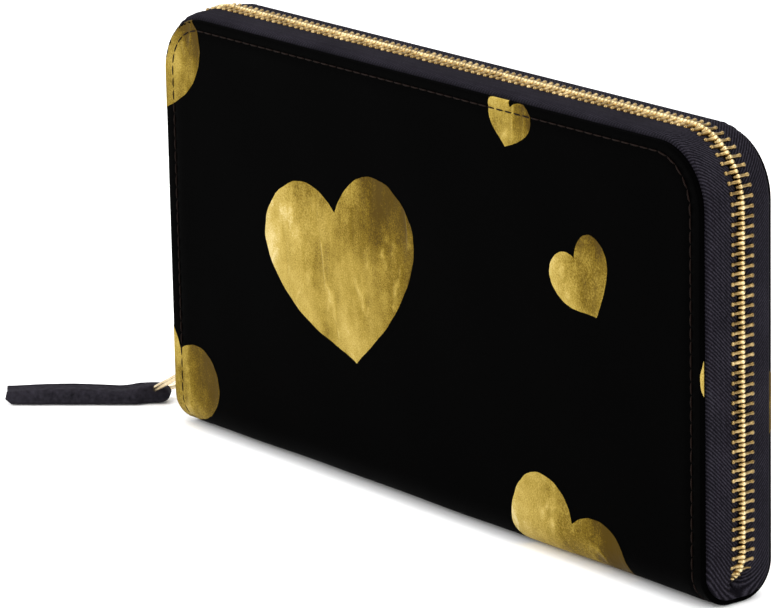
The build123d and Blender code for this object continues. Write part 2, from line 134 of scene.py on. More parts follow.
def double_faces(rows, columns, start=0):
    """Faces of two facing grids of points, one after the other, joined all round."""
    block = rows * columns
    faces = quads(rows, columns, start) + quads(rows, columns, start + block)
    for r in range(rows - 1):
        for c in (0, columns - 1):
            a = start + r * columns + c
            faces.append((a, a + columns, a + columns + block, a + block))
    for c in range(columns - 1):
        for r in (0, rows - 1):
            a = start + r * columns + c
            faces.append((a, a + 1, a + 1 + block, a + block))
    return faces


# ---- the leather's surface: (x, s) on the flat cut -> place in space ----
def profile(s):
    """Point (y, z) and outward normal on the outside of the folded leather; s < 0 is the back."""
    side = -1 if s >= 0 else 1
    s = abs(s)
    if s < FOLD_Y:
        y, z, ny, nz = -s, 0.0, 0.0, -1.0
    elif s < S_FACE:
        turn = (s - FOLD_Y) / FOLD_R
        y = -FOLD_Y - FOLD_R * math.sin(turn)
        z = FOLD_R - FOLD_R * math.cos(turn)
        ny, nz = -math.sin(turn), -math.cos(turn)
    else:
        y, z, ny, nz = -HALF_D, FOLD_R + s - S_FACE, -1.0, 0.0
    return Vector((0, -side * y, z)), Vector((0, -side * ny, nz))


def edge_of(x, s):
    """Distance inside the cover's outline and the outward direction there, in (x, s)."""
    s = abs(s)
    over_x = abs(x) - (HALF_L - CORNER_R)
    over_s = s - (S_TOP - CORNER_R)
    sign = 1 if x >= 0 else -1
    if over_x > 0 and over_s > 0:
        far = math.hypot(over_x, over_s)
        return CORNER_R - far, (sign * over_x / far, over_s / far)
    if HALF_L - abs(x) < S_TOP - s:
        return HALF_L - abs(x), (sign, 0.0)
    return S_TOP - s, (0.0, 1.0)


def swell(x, s, inside):
    """Soft relief of the leather: a groove under the stitching and slow waves."""
    line = STITCH_SIDE + (STITCH_TOP - STITCH_SIDE) * max(0.0, min(1.0, (abs(s) - S_TOP + 20) / 14))
    groove = -0.16 * math.exp(-((inside - line) / 0.75) ** 2)
    pillow = 0.10 * math.exp(-((inside - line - 2.6) / 2.2) ** 2)
    slow = 0.09 * math.sin(x * 0.061 + 0.7) * math.sin(s * 0.083 + 1.1)
    slow += 0.05 * math.sin(x * 0.17 + s * 0.09)
    fade = max(0.0, min(1.0, (inside - 1.0) / 6.0))
    return groove + pillow + slow * fade


def skin(x, s, lift=0.0):
    """The leather's outer skin; points past the outline wrap round its rounded edge."""
    inside, (out_x, out_s) = edge_of(x, s)
    way = 1 if s >= 0 else -1
    depth = 0.0
    if inside < RIM_R:
        over = RIM_R - inside
        bend = RIM_R * math.pi / 2
        turn = min(over, bend) / RIM_R
        depth = RIM_R * (1 - math.cos(turn)) + max(0.0, over - bend)
        side = RIM_R * math.sin(turn)
        rise, outward = lift * math.cos(turn), lift * math.sin(turn)
        x += out_x * (side - over + outward)
        s += way * out_s * (side - over + outward)
        lift = rise
    height = swell(x, s, inside) if inside > 0 else swell(x, s, 0)
    point, normal = profile(s)
    point = point + normal * (lift - depth + height)
    return Vector((x, point.y, point.z))


def outline_ring(inset, side_steps, corner_steps, top_steps):
    """Points of the cover's outline moved in by inset: up the left, over the top, down the right."""
    points = []
    low_s = S_TOP - CORNER_R
    radius = CORNER_R - inset
    for step in side_steps:
        points.append((-(HALF_L - inset), low_s * step))
    for c in range(1, corner_steps):
        turn = math.pi - c * math.pi / 2 / corner_steps
        points.append((-HALF_L + CORNER_R + radius * math.cos(turn), low_s + radius * math.sin(turn)))
    for c in range(top_steps + 1):
        points.append(((-1 + 2 * c / top_steps) * (HALF_L - CORNER_R), S_TOP - inset))
    for c in range(1, corner_steps):
        turn = math.pi / 2 - c * math.pi / 2 / corner_steps
        points.append((HALF_L - CORNER_R + radius * math.cos(turn), low_s + radius * math.sin(turn)))
    for step in reversed(side_steps):
        points.append((HALF_L - inset, low_s * step))
    return points


def side_shares():
    """Where the rows lie from the spine's middle to the corner: close together over the fold."""
    low_s = S_TOP - CORNER_R
    marks = [0.0, FOLD_Y * 0.5, FOLD_Y]
    marks += [FOLD_Y + ARC * i / 16 for i in range(1, 17)]
    rest = 26
    marks += [S_FACE + (low_s - S_FACE) * i / rest for i in range(1, rest + 1)]
    return [m / low_s for m in marks]


def cover_shell(name, way, material):
    """One half of the leather, from the spine's middle to a cover's top edge, closed all round."""
    shares = side_shares()
    corner, top = 14, 64
    wrap = RIM_R * math.pi / 2 - RIM_R + LEATHER - 2 * RIM_R
    insets = [-wrap - 0.5, -wrap, -0.3, -0.1, 0.1, 0.3, RIM_R, 0.9, 1.5, 2.1, 2.5, 2.9, 3.3, 3.7,
              4.3, 5.2, 6.8, 9.5, CORNER_R]
    verts, faces = [], []
    count = len(outline_ring(0, shares, corner, top))
    for inset in insets:
        ring = outline_ring(inset, shares, corner, top)
        for x, s in ring:
            verts.append(skin(x, way * s))
    faces += quads(len(insets), count)
    grid_start = len(verts)
    low_s = S_TOP - CORNER_R
    for share in shares:
        for c in range(top + 1):
            verts.append(skin((-1 + 2 * c / top) * (HALF_L - CORNER_R), way * low_s * share))
    faces += quads(len(shares), top + 1, grid_start)
    inner_rings = [0.35, 1.5, 5.0, CORNER_R]
    inner_start = len(verts)
    for inset in inner_rings:
        for x, s in outline_ring(inset, shares, corner, top):
            point, normal = profile(way * s)
            spot = point - normal * LEATHER
            verts.append(Vector((x, spot.y, spot.z)))
    faces += quads(len(inner_rings), count, inner_start)
    inner_grid = len(verts)
    for share in shares:
        for c in range(top + 1):
            point, normal = profile(way * low_s * share)
            spot = point - normal * LEATHER
            verts.append(Vector(((-1 + 2 * c / top) * (HALF_L - CORNER_R), spot.y, spot.z)))
    faces += quads(len(shares), top + 1, inner_grid)
    for c in range(count - 1):
        faces.append((c, c + 1, inner_start + c + 1, inner_start + c))
    seam_out = [r * count for r in range(len(insets))] + [grid_start + c for c in range(1, top)]
    seam_out += [r * count + count - 1 for r in reversed(range(len(insets)))]
    seam_in = [inner_start + r * count for r in range(len(inner_rings))]
    seam_in += [inner_grid + c for c in range(1, top)]
    seam_in += [inner_start + r * count + count - 1 for r in reversed(range(len(inner_rings)))]
    faces.append(tuple(seam_out + list(reversed(seam_in))))
    return mesh_object(name, verts, faces, material, sharp=60)


# ---- printed hearts ----
# right half of a hand-cut heart, from the cleft to the tip: share of half the width, share of half the height
HEART_SIDE = [(0.0, 0.54), (0.10, 0.69), (0.27, 0.83), (0.50, 0.89), (0.76, 0.80), (0.94, 0.56), (1.0, 0.25),
              (0.93, -0.08), (0.76, -0.38), (0.52, -0.64), (0.25, -0.86), (0.0, -1.06)]


def smooth_line(points, steps):
    """A Catmull-Rom curve through the points."""
    curve = []
    padded = [points[0]] + points + [points[-1]]
    for i in range(1, len(padded) - 2):
        p0, p1, p2, p3 = (Vector(padded[i + k]) for k in (-1, 0, 1, 2))
        for j in range(steps):
            t = j / steps
            curve.append(0.5 * (2 * p1 + (p2 - p0) * t + (2 * p0 - 5 * p1 + 4 * p2 - p3) * t * t
                                + (3 * p1 - p0 - 3 * p2 + p3) * t ** 3))
    curve.append(Vector(points[-1]))
    return curve


def heart_outline(x, s, width, height, tilt, steps=8):
    """A slightly uneven heart, centred on (x, s) in the flat cut."""
    right = smooth_line(HEART_SIDE, steps)
    left = [Vector((-p.x, p.y)) for p in reversed(right[1:-1])]
    turn = math.radians(tilt)
    points = []
    for i, p in enumerate(right + left):
        uneven = 1 + 0.010 * math.sin(0.23 * i + x) + 0.003 * math.sin(0.9 * i + s)
        uneven += random.uniform(-0.002, 0.002)
        px, ps = p.x * width / 2 * uneven, p.y * height / 2 * uneven
        across = px * math.cos(turn) - ps * math.sin(turn)
        along = px * math.sin(turn) + ps * math.cos(turn)
        points.append((x + across, s + along))
    return points


def clip(points, a, b, c):
    """The part of a polygon where a*x + b*s <= c."""
    kept = []
    for i, here in enumerate(points):
        nxt = points[(i + 1) % len(points)]
        at, then = a * here[0] + b * here[1] - c, a * nxt[0] + b * nxt[1] - c
        if at <= 0:
            kept.append(here)
        if (at < 0 < then) or (then < 0 < at):
            share = at / (at - then)
            kept.append((here[0] + share * (nxt[0] - here[0]), here[1] + share * (nxt[1] - here[1])))
    return kept


def clip_to_cover(points, way):
    """Keep what lies on one half of the leather, its turned edge included."""
    extra = 0.62
    points = [(x, way * s) for x, s in points]
    points = clip(points, 0, -1, 0)
    points = clip(points, 1, 0, HALF_L + extra)
    points = clip(points, -1, 0, HALF_L + extra)
    points = clip(points, 0, 1, S_TOP + extra)
    centre_s = S_TOP - CORNER_R
    for side in (-1, 1):
        for i in range(1, 16):
            turn = math.radians(90 * i / 16)
            a, b = side * math.cos(turn), math.sin(turn)
            limit = (HALF_L - CORNER_R) * math.cos(turn) + centre_s * b + CORNER_R + extra
            points = clip(points, a, b, limit)
    return [(x, way * s) for x, s in points]


def foil(name, heart, way, material):
    """One printed heart laid on one half of the leather; None when it misses that half."""
    points = clip_to_cover(heart_outline(*heart), way)
    if len(points) < 3:
        return None
    work = bmesh.new()
    work.faces.new([work.verts.new((x, s, 0)) for x, s in points])
    low_x, high_x = min(p[0] for p in points), max(p[0] for p in points)
    low_s, high_s = min(p[1] for p in points), max(p[1] for p in points)

    def cut(place, normal):
        geometry = work.verts[:] + work.edges[:] + work.faces[:]
        bmesh.ops.bisect_plane(work, geom=geometry, dist=1e-6, plane_co=place, plane_no=normal)

    step = 1.2
    for i in range(1, int((high_x - low_x) / step) + 1):
        cut((low_x + i * step, 0, 0), (1, 0, 0))
    for i in range(1, int((high_s - low_s) / step) + 1):
        cut((0, low_s + i * step, 0), (0, 1, 0))
    for edge_x in (HALF_L, HALF_L - 0.25, HALF_L - RIM_R, HALF_L + 0.3):
        for side in (-1, 1):
            cut((side * edge_x, 0, 0), (1, 0, 0))
    for edge_s in (S_TOP, S_TOP - 0.25, S_TOP - RIM_R, S_TOP + 0.3):
        cut((0, way * edge_s, 0), (0, 1, 0))
    bmesh.ops.triangulate(work, faces=[f for f in work.faces if len(f.verts) > 4])
    flat = [tuple(v.co[:2]) for v in work.verts]
    work.verts.index_update()
    faces = [tuple(v.index for v in f.verts) for f in work.faces]
    work.free()
    mesh = bpy.data.meshes.new(name)
    mesh.from_pydata([tuple(skin(x, s, 0.06) * MM) for x, s in flat], [], faces)
    mesh.materials.append(material)
    layer = mesh.uv_layers.new(name="UVMap")
    x0, s0, width, height, tilt = heart
    turn = math.radians(-tilt)
    for loop in mesh.loops:
        x, s = flat[loop.vertex_index]
        dx, ds = x - x0, s - s0
        layer.data[loop.index].uv = (
            (dx * math.cos(turn) - ds * math.sin(turn)) / width,
            (dx * math.sin(turn) + ds * math.cos(turn)) / width,
        )
    for face in mesh.polygons:
        face.use_smooth = True
    piece = bpy.data.objects.new(name, mesh)
    bpy.context.collection.objects.link(piece)
    return piece


def at_height(z):
    """Distance along the leather to a height on the flat cover."""
    return S_FACE + z - FOLD_R


# centre across, centre along the cut, width, height, tilt in degrees
FRONT_HEARTS = {
    "top_left": (-101.1, at_height(92.4), 36, 30, -6),
    "top_edge": (33.4, at_height(98.7), 15.0, 11.8, -12),
    "large": (-28.6, at_height(53.8), 57.0, 44.8, 12),
    "small": (58.0, at_height(67.4), 20.6, 17.8, 32),
    "bottom_left": (-97.5, at_height(12.6), 36, 28, -22),
    "bottom": (50.7, at_height(0.9), 40.0, 34.5, -19),
    "right_edge": (112.6, at_height(50.8), 30, 25, 12),
}
BACK_HEARTS = {
    "edge": (111.5, -at_height(41.0), 31, 30, 170),
    "one": (-62.0, -at_height(74.0), 46, 37, 168),
    "two": (16.0, -at_height(46.0), 57, 45, 188),
    "three": (70.0, -at_height(88.0), 22, 18, 160),
    "four": (-50.0, -at_height(20.0), 21, 17, 204),
    "five": (78.0, -at_height(16.0), 38, 31, 175),
    "six": (-8.0, -at_height(97.0), 16, 13, 186),
}


# ---- stitching ----
STITCH_PITCH, STITCH_GAP = 3.05, 0.28
STITCH_R, STITCH_LIFT = 0.185, 0.08


def stitch_path():
    """Evenly dense points of the sewing line in (x, s), left spine to right spine."""
    path = []
    low_s = S_TOP - CORNER_R
    side = HALF_L - STITCH_SIDE
    steps = 400
    path += [(-side, low_s * i / steps) for i in range(steps)]
    for i in range(60):
        share = i / 60
        radius = CORNER_R - STITCH_SIDE + (STITCH_SIDE - STITCH_TOP) * share
        turn = math.pi - share * math.pi / 2
        path.append((-HALF_L + CORNER_R + radius * math.cos(turn), low_s + radius * math.sin(turn)))
    top = HALF_L - CORNER_R
    path += [(-top + 2 * top * i / steps, S_TOP - STITCH_TOP) for i in range(steps)]
    for i in range(60):
        share = i / 60
        radius = CORNER_R - STITCH_TOP - (STITCH_SIDE - STITCH_TOP) * share
        turn = math.pi / 2 - share * math.pi / 2
        path.append((HALF_L - CORNER_R + radius * math.cos(turn), low_s + radius * math.sin(turn)))
    path += [(side, low_s * (1 - i / steps)) for i in range(steps + 1)]
    return path


def walk(path, spacing):
    """Points along a polyline, one every spacing."""
    points, carried = [], 0.0
    for a, b in zip(path, path[1:]):
        length = math.dist(a, b)
        while carried < length:
            share = carried / length
            points.append(tuple(p + share * (q - p) for p, q in zip(a, b)))
            carried += spacing
        carried -= length
    return points


def capsule(verts, faces, start, end, up, radius):
    """A short thread lying from start to end, its tips dipping into the leather."""
    way = end - start
    side = way.cross(up).normalized()
    base = len(verts)
    rings, around = 7, 8
    for r in range(rings):
        share = r / (rings - 1)
        bow = math.sin(math.pi * share)
        middle = start + way * share + up * (radius * (0.9 * bow ** 0.6 - 0.55))
        size = radius * (0.45 + 0.55 * bow ** 0.5)
        for k in range(around):
            turn = 2 * math.pi * k / around
            verts.append(middle + side * size * math.cos(turn) + up * size * math.sin(turn))
    faces += quads(rings, around, base, close=True)
    caps(faces, base, rings, around)


def stitching(name, way, material):
    """The row of stitches on one half of the leather."""
    verts, faces = [], []
    share = 1 - STITCH_GAP / STITCH_PITCH
    spots = walk(stitch_path(), STITCH_PITCH)
    for (x0, s0), (x1, s1) in zip(spots, spots[1:]):
        skew = random.uniform(-0.05, 0.05)
        start = skin(x0, way * s0, STITCH_LIFT)
        end = skin(x0 + (x1 - x0) * share + skew, way * (s0 + (s1 - s0) * share), STITCH_LIFT)
        capsule(verts, faces, start, end, profile(way * s0)[1], STITCH_R)
    return mesh_object(name, verts, faces, material)


# ---- the zip's path ----
CURL_R_RIGHT, CURL_R_LEFT = 7.5, 4.0
CURL_END_RIGHT, CURL_END_LEFT = 4.5, 3.2
CURL_TURN = 78.0
TOOTH_PITCH = 2.2
ZIP_R = CORNER_R + RIDGE
ZIP_RUNS = [
    ("arc", (CURL_R_LEFT - EDGE_X, CURL_END_LEFT + CURL_R_LEFT), CURL_R_LEFT, 180 + CURL_TURN, 180),
    ("line", (-EDGE_X, CURL_END_LEFT + CURL_R_LEFT), (-EDGE_X, EDGE_Z - ZIP_R)),
    ("arc", (ZIP_R - EDGE_X, EDGE_Z - ZIP_R), ZIP_R, 180, 90),
    ("line", (ZIP_R - EDGE_X, EDGE_Z), (EDGE_X - ZIP_R, EDGE_Z)),
    ("arc", (EDGE_X - ZIP_R, EDGE_Z - ZIP_R), ZIP_R, 90, 0),
    ("line", (EDGE_X, EDGE_Z - ZIP_R), (EDGE_X, CURL_END_RIGHT + CURL_R_RIGHT)),
    ("arc", (EDGE_X - CURL_R_RIGHT, CURL_END_RIGHT + CURL_R_RIGHT), CURL_R_RIGHT, 0, -CURL_TURN),
]


def run_length(run):
    if run[0] == "line":
        return math.dist(run[1], run[2])
    return math.radians(abs(run[4] - run[3])) * run[2]


ZIP_LENGTH = sum(run_length(r) for r in ZIP_RUNS)


def zip_spot(along):
    """Place (x, z), outward direction and run number at a distance along the chain."""
    number = 0
    while number < len(ZIP_RUNS) - 1 and along > run_length(ZIP_RUNS[number]):
        along -= run_length(ZIP_RUNS[number])
        number += 1
    run = ZIP_RUNS[number]
    share = along / run_length(run)
    if run[0] == "arc":
        turn = math.radians(run[3] + (run[4] - run[3]) * share)
        x = run[1][0] + run[2] * math.cos(turn)
        z = run[1][1] + run[2] * math.sin(turn)
        return Vector((x, 0, z)), Vector((math.cos(turn), 0, math.sin(turn))), number
    x = run[1][0] + share * (run[2][0] - run[1][0])
    z = run[1][1] + share * (run[2][1] - run[1][1])
    if run[1][1] == run[2][1]:
        return Vector((x, 0, z)), Vector((0, 0, 1)), number
    return Vector((x, 0, z)), Vector((-1.0 if x < 0 else 1.0, 0, 0)), number


TAPE_THICK = 0.5
# outside of the tape's section, from the chain to the seam:
# rise from the chain's plane, distance from its middle
TAPE_SECTION = [(0.05, 1.15), (0.10, 1.6), (0.16, 2.2), (0.34, 2.7), (0.40, 2.95), (0.34, 3.2), (0.24, 3.5),
                (0.24, 4.0), (0.24, 5.0), (0.20, 6.0), (0.08, 7.0), (-0.16, 8.0),
                (-0.62, 8.7), (-1.35, 9.0), (-2.6, 9.02)]
SEAM_Y = TAPE_SECTION[-1][1]


def rim_spot(low, share):
    """A point (y, z) along the leather's inside, from height low down to the wallet's middle."""
    inner = FOLD_R - LEATHER
    start = math.asin(max(0.0, min(1.0, (FOLD_R - low) / inner))) if low < FOLD_R else 0.0
    straight, bend = max(0.0, low - FOLD_R), inner * (math.pi / 2 - start)
    along = share * (straight + bend + FOLD_Y)
    if along < straight:
        return SEAM_Y + 0.03, low - along
    if along < straight + bend:
        turn = start + (along - straight) / inner
        return FOLD_Y + inner * math.cos(turn), FOLD_R - inner * math.sin(turn)
    return FOLD_Y - (along - straight - bend), LEATHER + 0.02


def tape(name, way, material):
    """One tape half; at each end it closes the space between the chain and the folded leather."""
    steps = 560
    columns = len(TAPE_SECTION)
    verts, uvs = [], []
    ends = {0: run_length(ZIP_RUNS[0]), 6: ZIP_LENGTH - run_length(ZIP_RUNS[6])}
    for layer in (0.0, -TAPE_THICK):
        for i in range(steps + 1):
            along = ZIP_LENGTH * i / steps
            spot, out, number = zip_spot(along)
            join, join_out = spot, out
            past = 0.0
            if number in ends:
                join, _, _ = zip_spot(ends[number])
                past = abs(along - ends[number]) / run_length(ZIP_RUNS[number])
                join_out = Vector((math.copysign(1.0, join.x), 0, 0))
            for n, y in TAPE_SECTION:
                pucker = 0.0
                if number in (2, 4) and y > 5:
                    pucker = 0.10 * math.sin(along * 2.3 + way) * min(1, (y - 5) / 2)
                place = join + join_out * (n + layer + pucker)
                if number in ends:
                    reach = (y - TAPE_SECTION[0][1]) / (SEAM_Y - TAPE_SECTION[0][1])
                    rim_y, rim_z = rim_spot(join.z, past)
                    start_y, start_z = rim_spot(join.z, 0.0)
                    shift = (spot - join) * (1 - reach)
                    part = reach ** 0.7
                    near_chain = 1 - 0.97 * past * past
                    y *= near_chain * (1 - part) + rim_y / start_y * part
                    place = place + shift + Vector((0, 0, (rim_z - start_z) * reach))
                    y = max(0.01, min(y, SEAM_Y))
                verts.append(Vector((place.x, -way * y, place.z)))
                uvs.append((along, y))
    mesh = bpy.data.meshes.new(name)
    mesh.from_pydata([tuple(v * MM) for v in verts], [], double_faces(steps + 1, columns))
    mesh.materials.append(material)
    layer = mesh.uv_layers.new(name="UVMap")
    for loop in mesh.loops:
        layer.data[loop.index].uv = uvs[loop.vertex_index]
    tidy_mesh(mesh)
    for face in mesh.polygons:
        face.use_smooth = True
    piece = bpy.data.objects.new(name, mesh)
    bpy.context.collection.objects.link(piece)
    return piece


# one tooth, as sections from the tape to the tip: place across, half width along the chain, half height
TOOTH_SECTIONS = [
    (-3.22, 0.22, 0.50), (-3.12, 0.44, 0.80), (-2.8, 0.54, 0.94), (-2.35, 0.40, 0.74), (-1.75, 0.38, 0.72),
    (-1.3, 0.46, 0.86), (-0.75, 0.44, 0.86), (-0.38, 0.50, 1.06), (0.0, 0.55, 1.20), (0.28, 0.48, 1.04),
    (0.44, 0.36, 0.66), (0.95, 0.30, 0.50), (1.05, 0.15, 0.34),
]


def add_tooth(verts, faces, spot, out, way, scale=1.0):
    """One metal tooth gripping the tape's edge."""
    chain = Vector((-out.z, 0, out.x))
    around = 12
    base = len(verts)
    for y, wide, high in TOOTH_SECTIONS:
        for k in range(around):
            turn = 2 * math.pi * k / around
            c, s = math.cos(turn), math.sin(turn)
            round_c = math.copysign(abs(c) ** 0.62, c) * wide * scale
            round_s = math.copysign(abs(s) ** 0.62, s) * high * scale
            verts.append(spot + Vector((0, way * y * scale, 0)) + chain * round_c + out * round_s)
    faces += quads(len(TOOTH_SECTIONS), around, base, close=True)
    caps(faces, base, len(TOOTH_SECTIONS), around)


def tooth_row(name, way, shift, kept, material):
    """One row of teeth over the stretch that kept(run number, height) allows."""
    verts, faces = [], []
    start = 0.0
    for number, run in enumerate(ZIP_RUNS):
        length = run_length(run)
        step = int((start - shift) / TOOTH_PITCH) + 1
        while step * TOOTH_PITCH + shift < start + length:
            spot, out, _ = zip_spot(step * TOOTH_PITCH + shift)
            if kept(number, spot.z):
                add_tooth(verts, faces, spot, out, way)
            step += 1
        start += length
    return mesh_object(name, verts, faces, material, sharp=50)


# ---- materials ----
class Nodes:
    """A material's node tree, built node by node."""

    def __init__(self, name, space="Object"):
        self.material = bpy.data.materials.new(name)
        self.material.use_nodes = True
        self.tree = self.material.node_tree
        self.shader = self.tree.nodes["Principled BSDF"]
        self.place = self.tree.nodes.new("ShaderNodeTexCoord").outputs[space]

    def link(self, source, target):
        self.tree.links.new(source, target)

    def node(self, kind, **inputs):
        made = self.tree.nodes.new(kind)
        for key, value in inputs.items():
            socket = made.inputs[int(key[1:])] if key[0] == "i" and key[1:].isdigit() else made.inputs[key]
            if isinstance(value, bpy.types.NodeSocket):
                self.link(value, socket)
            else:
                socket.default_value = value
        return made

    def math(self, operation, a, b=0.0, c=0.0):
        made = self.node("ShaderNodeMath", i0=a, i1=b, i2=c)
        made.operation = operation
        return made.outputs[0]

    def total(self, *parts, base=0.0):
        """Sum of (value, weight) pairs, added to base."""
        for value, weight in parts:
            base = self.math("MULTIPLY_ADD", value, weight, base)
        return base

    def scaled(self, x, y, z):
        return self.node("ShaderNodeMapping", Vector=self.place, Scale=(x, y, z)).outputs[0]

    def noise(self, where, scale, detail=4.0, rough=0.55):
        made = self.node("ShaderNodeTexNoise", Vector=where, Scale=scale, Detail=detail, Roughness=rough)
        return made.outputs[0]

    def ramp(self, value, *stops):
        made = self.node("ShaderNodeValToRGB", i0=value)
        ramp = made.color_ramp
        while len(ramp.elements) < len(stops):
            ramp.elements.new(0.5)
        for element, (at, colour) in zip(ramp.elements, stops):
            element.position = at
            element.color = colour if len(colour) == 4 else (*colour, 1)
        return made.outputs[0]

    def span(self, value, low, high, from_low=0.0, from_high=1.0):
        made = self.node("ShaderNodeMapRange", i0=value, i1=from_low, i2=from_high, i3=low, i4=high)
        return made.outputs[0]

    def bump(self, height, strength, distance_mm, onto=None):
        made = self.node("ShaderNodeBump", Strength=strength, Distance=distance_mm * MM, Height=height)
        if onto is not None:
            self.link(onto, made.inputs["Normal"])
        return made.outputs[0]

    def done(self, colour=None, rough=None, normal=None, **fixed):
        names = {"metal": "Metallic", "spec": "Specular IOR Level", "sheen": "Sheen Weight"}
        if colour is not None:
            self.link(colour, self.shader.inputs["Base Color"])
        if rough is not None:
            self.link(rough, self.shader.inputs["Roughness"])
        if normal is not None:
            self.link(normal, self.shader.inputs["Normal"])
        for key, value in fixed.items():
            self.shader.inputs[names[key]].default_value = value
        return self.material


def grey(v):
    return (v, v, v)


def leather(name, dark, light, rough=(0.50, 0.62), pebble=900.0, depth=0.05, spec=0.22,
            speck=0.0):
    """Fine-grained satin leather with faint scuffs."""
    n = Nodes(name)
    cells = n.node("ShaderNodeTexVoronoi", Vector=n.place, Scale=pebble)
    cells.feature = "DISTANCE_TO_EDGE"
    grain = n.noise(n.place, pebble * 1.7, 3.0)
    broad = n.noise(n.place, 42.0, 5.0)
    mottle = n.total((broad, 1 - speck), (grain, speck))
    colour = n.ramp(mottle, (0.3, dark), (0.7, light))
    gloss = n.span(broad, rough[0], rough[1], 0.3, 0.7)
    normal = n.bump(cells.outputs[0], 0.45, depth)
    normal = n.bump(grain, 0.25, depth * 0.7, normal)
    normal = n.bump(broad, 0.18, 0.25, normal)
    return n.done(colour, gloss, normal, spec=spec)


def gold_foil(name):
    """Crumpled gold leaf, lighter at the left lobe and browner to the upper right."""
    n = Nodes(name, "UV")
    parts = n.node("ShaderNodeSeparateXYZ", Vector=n.place)
    across, up = parts.outputs[0], parts.outputs[1]
    place = n.node("ShaderNodeTexCoord").outputs["Object"]
    corner = n.math("MULTIPLY", n.math("MAXIMUM", across, 0.0), n.math("MAXIMUM", up, 0.0))
    lobe = n.math("MULTIPLY", n.math("MINIMUM", across, 0.0), n.math("MAXIMUM", up, 0.0))
    lean = n.total((across, -0.46), (up, -0.10), (corner, -2.2), (lobe, -0.7))
    broad = n.noise(place, 75.0, 6.0, 0.62)
    long_way = n.node("ShaderNodeMapping", Vector=place, Scale=(1.0, 1.0, 0.20))
    streaks = n.noise(long_way.outputs[0], 300.0, 5.0, 0.6)
    bent = n.node("ShaderNodeMapping", Vector=place, Scale=(1.0, 1.0, 0.42), Rotation=(0, 0.3, 0))
    creases = n.noise(bent.outputs[0], 85.0, 2.0, 0.5)
    ridge = n.math("ABSOLUTE", n.math("SUBTRACT", creases, 0.5))
    sharp_crease = n.span(ridge, 1.0, 0.0, 0.0, 0.035)
    broken = n.span(n.noise(place, 140.0, 2.0), 0.0, 1.0, 0.48, 0.60)
    crease = n.math("MULTIPLY", sharp_crease, broken)
    speckle = n.noise(place, 2800.0, 2.0)
    tone = n.total((broad, 0.95), (lean, 1.0), (streaks, 0.36), (speckle, 0.62),
                   (crease, 0.22), (creases, 0.45), base=-0.69)
    colour = n.ramp(
        tone,
        (0.14, (0.055, 0.032, 0.003)),
        (0.36, (0.130, 0.083, 0.008)),
        (0.56, (0.255, 0.178, 0.030)),
        (0.78, (0.39, 0.285, 0.072)),
        (1.00, (0.54, 0.43, 0.19)),
    )
    gloss = n.span(streaks, 0.38, 0.60, 0.3, 0.7)
    folded = n.total((creases, 2.2), (crease, 0.35))
    normal = n.bump(folded, 0.65, 0.9)
    normal = n.bump(streaks, 0.45, 0.35, normal)
    normal = n.bump(speckle, 0.25, 0.05, normal)
    return n.done(colour, gloss, normal, metal=0.06, spec=0.02)


def thread(name, colour_a, colour_b):
    """Twisted sewing thread."""
    n = Nodes(name)
    twist = n.node("ShaderNodeTexWave", Vector=n.scaled(1, 1, 1), Scale=1500.0, Distortion=1.5)
    twist.bands_direction = "DIAGONAL"
    colour = n.ramp(twist.outputs[0], (0.2, colour_a), (0.8, colour_b))
    fuzz = n.noise(n.place, 4000.0)
    return n.done(colour, n.span(fuzz, 0.6, 0.85), n.bump(twist.outputs[0], 0.6, 0.05), spec=0.06)


def twill(name):
    """Woven zip tape with slanting twill ribs; UVs are in millimetres."""
    n = Nodes(name, "UV")
    parts = n.node("ShaderNodeSeparateXYZ", Vector=n.place)
    along, across = parts.outputs[0], parts.outputs[1]
    ribs = n.math("FRACT", n.total((along, 1.12), (across, 1.2)))
    rib = n.math("PINGPONG", ribs, 0.5)
    turn = n.math("PINGPONG", across, 0.75)
    yarn = n.math("PINGPONG", n.math("MULTIPLY", across, 2.4), 0.5)
    place = n.node("ShaderNodeTexCoord").outputs["Object"]
    fibre = n.noise(place, 3000.0, 3.0)
    broad = n.noise(place, 90.0, 4.0)
    tone = n.total((rib, 0.8), (fibre, 0.6), (broad, 0.25), (turn, 0.08))
    colour = n.ramp(
        tone,
        (0.30, (0.0018, 0.0016, 0.0024)),
        (0.62, (0.0052, 0.0046, 0.0066)),
        (0.95, (0.028, 0.0255, 0.034)),
    )
    normal = n.bump(rib, 0.55, 0.10)
    normal = n.bump(yarn, 0.25, 0.06, normal)
    normal = n.bump(fibre, 0.30, 0.04, normal)
    return n.done(colour, n.span(fibre, 0.78, 0.98), normal, spec=0.02)


def cloth(name, dark, light, threads=1400.0):
    """Plain woven lining."""
    n = Nodes(name)
    warp = n.node("ShaderNodeTexWave", Vector=n.place, Scale=threads * 0.31, Distortion=0.4)
    weft = n.node("ShaderNodeTexWave", Vector=n.place, Scale=threads * 0.31, Distortion=0.4)
    warp.bands_direction = "X"
    weft.bands_direction = "Z"
    weave = n.math("MAXIMUM", warp.outputs[0], weft.outputs[0])
    slub = n.noise(n.scaled(1, 1, 0.2), 800.0)
    broad = n.noise(n.place, 38.0)
    tone = n.total((weave, 0.5), (slub, 0.35), (broad, 0.2))
    colour = n.ramp(tone, (0.2, dark), (0.85, light))
    normal = n.bump(weave, 0.45, 0.08)
    normal = n.bump(broad, 0.3, 0.5, normal)
    return n.done(colour, n.span(slub, 0.65, 0.9), normal, sheen=0.15)


def board_card(name):
    """Grey fibre board."""
    n = Nodes(name)
    fibre = n.noise(n.scaled(1, 1, 0.3), 700.0, 6.0)
    colour = n.ramp(fibre, (0.3, grey(0.10)), (0.7, grey(0.20)))
    return n.done(colour, n.span(fibre, 0.75, 0.95), n.bump(fibre, 0.4, 0.1))


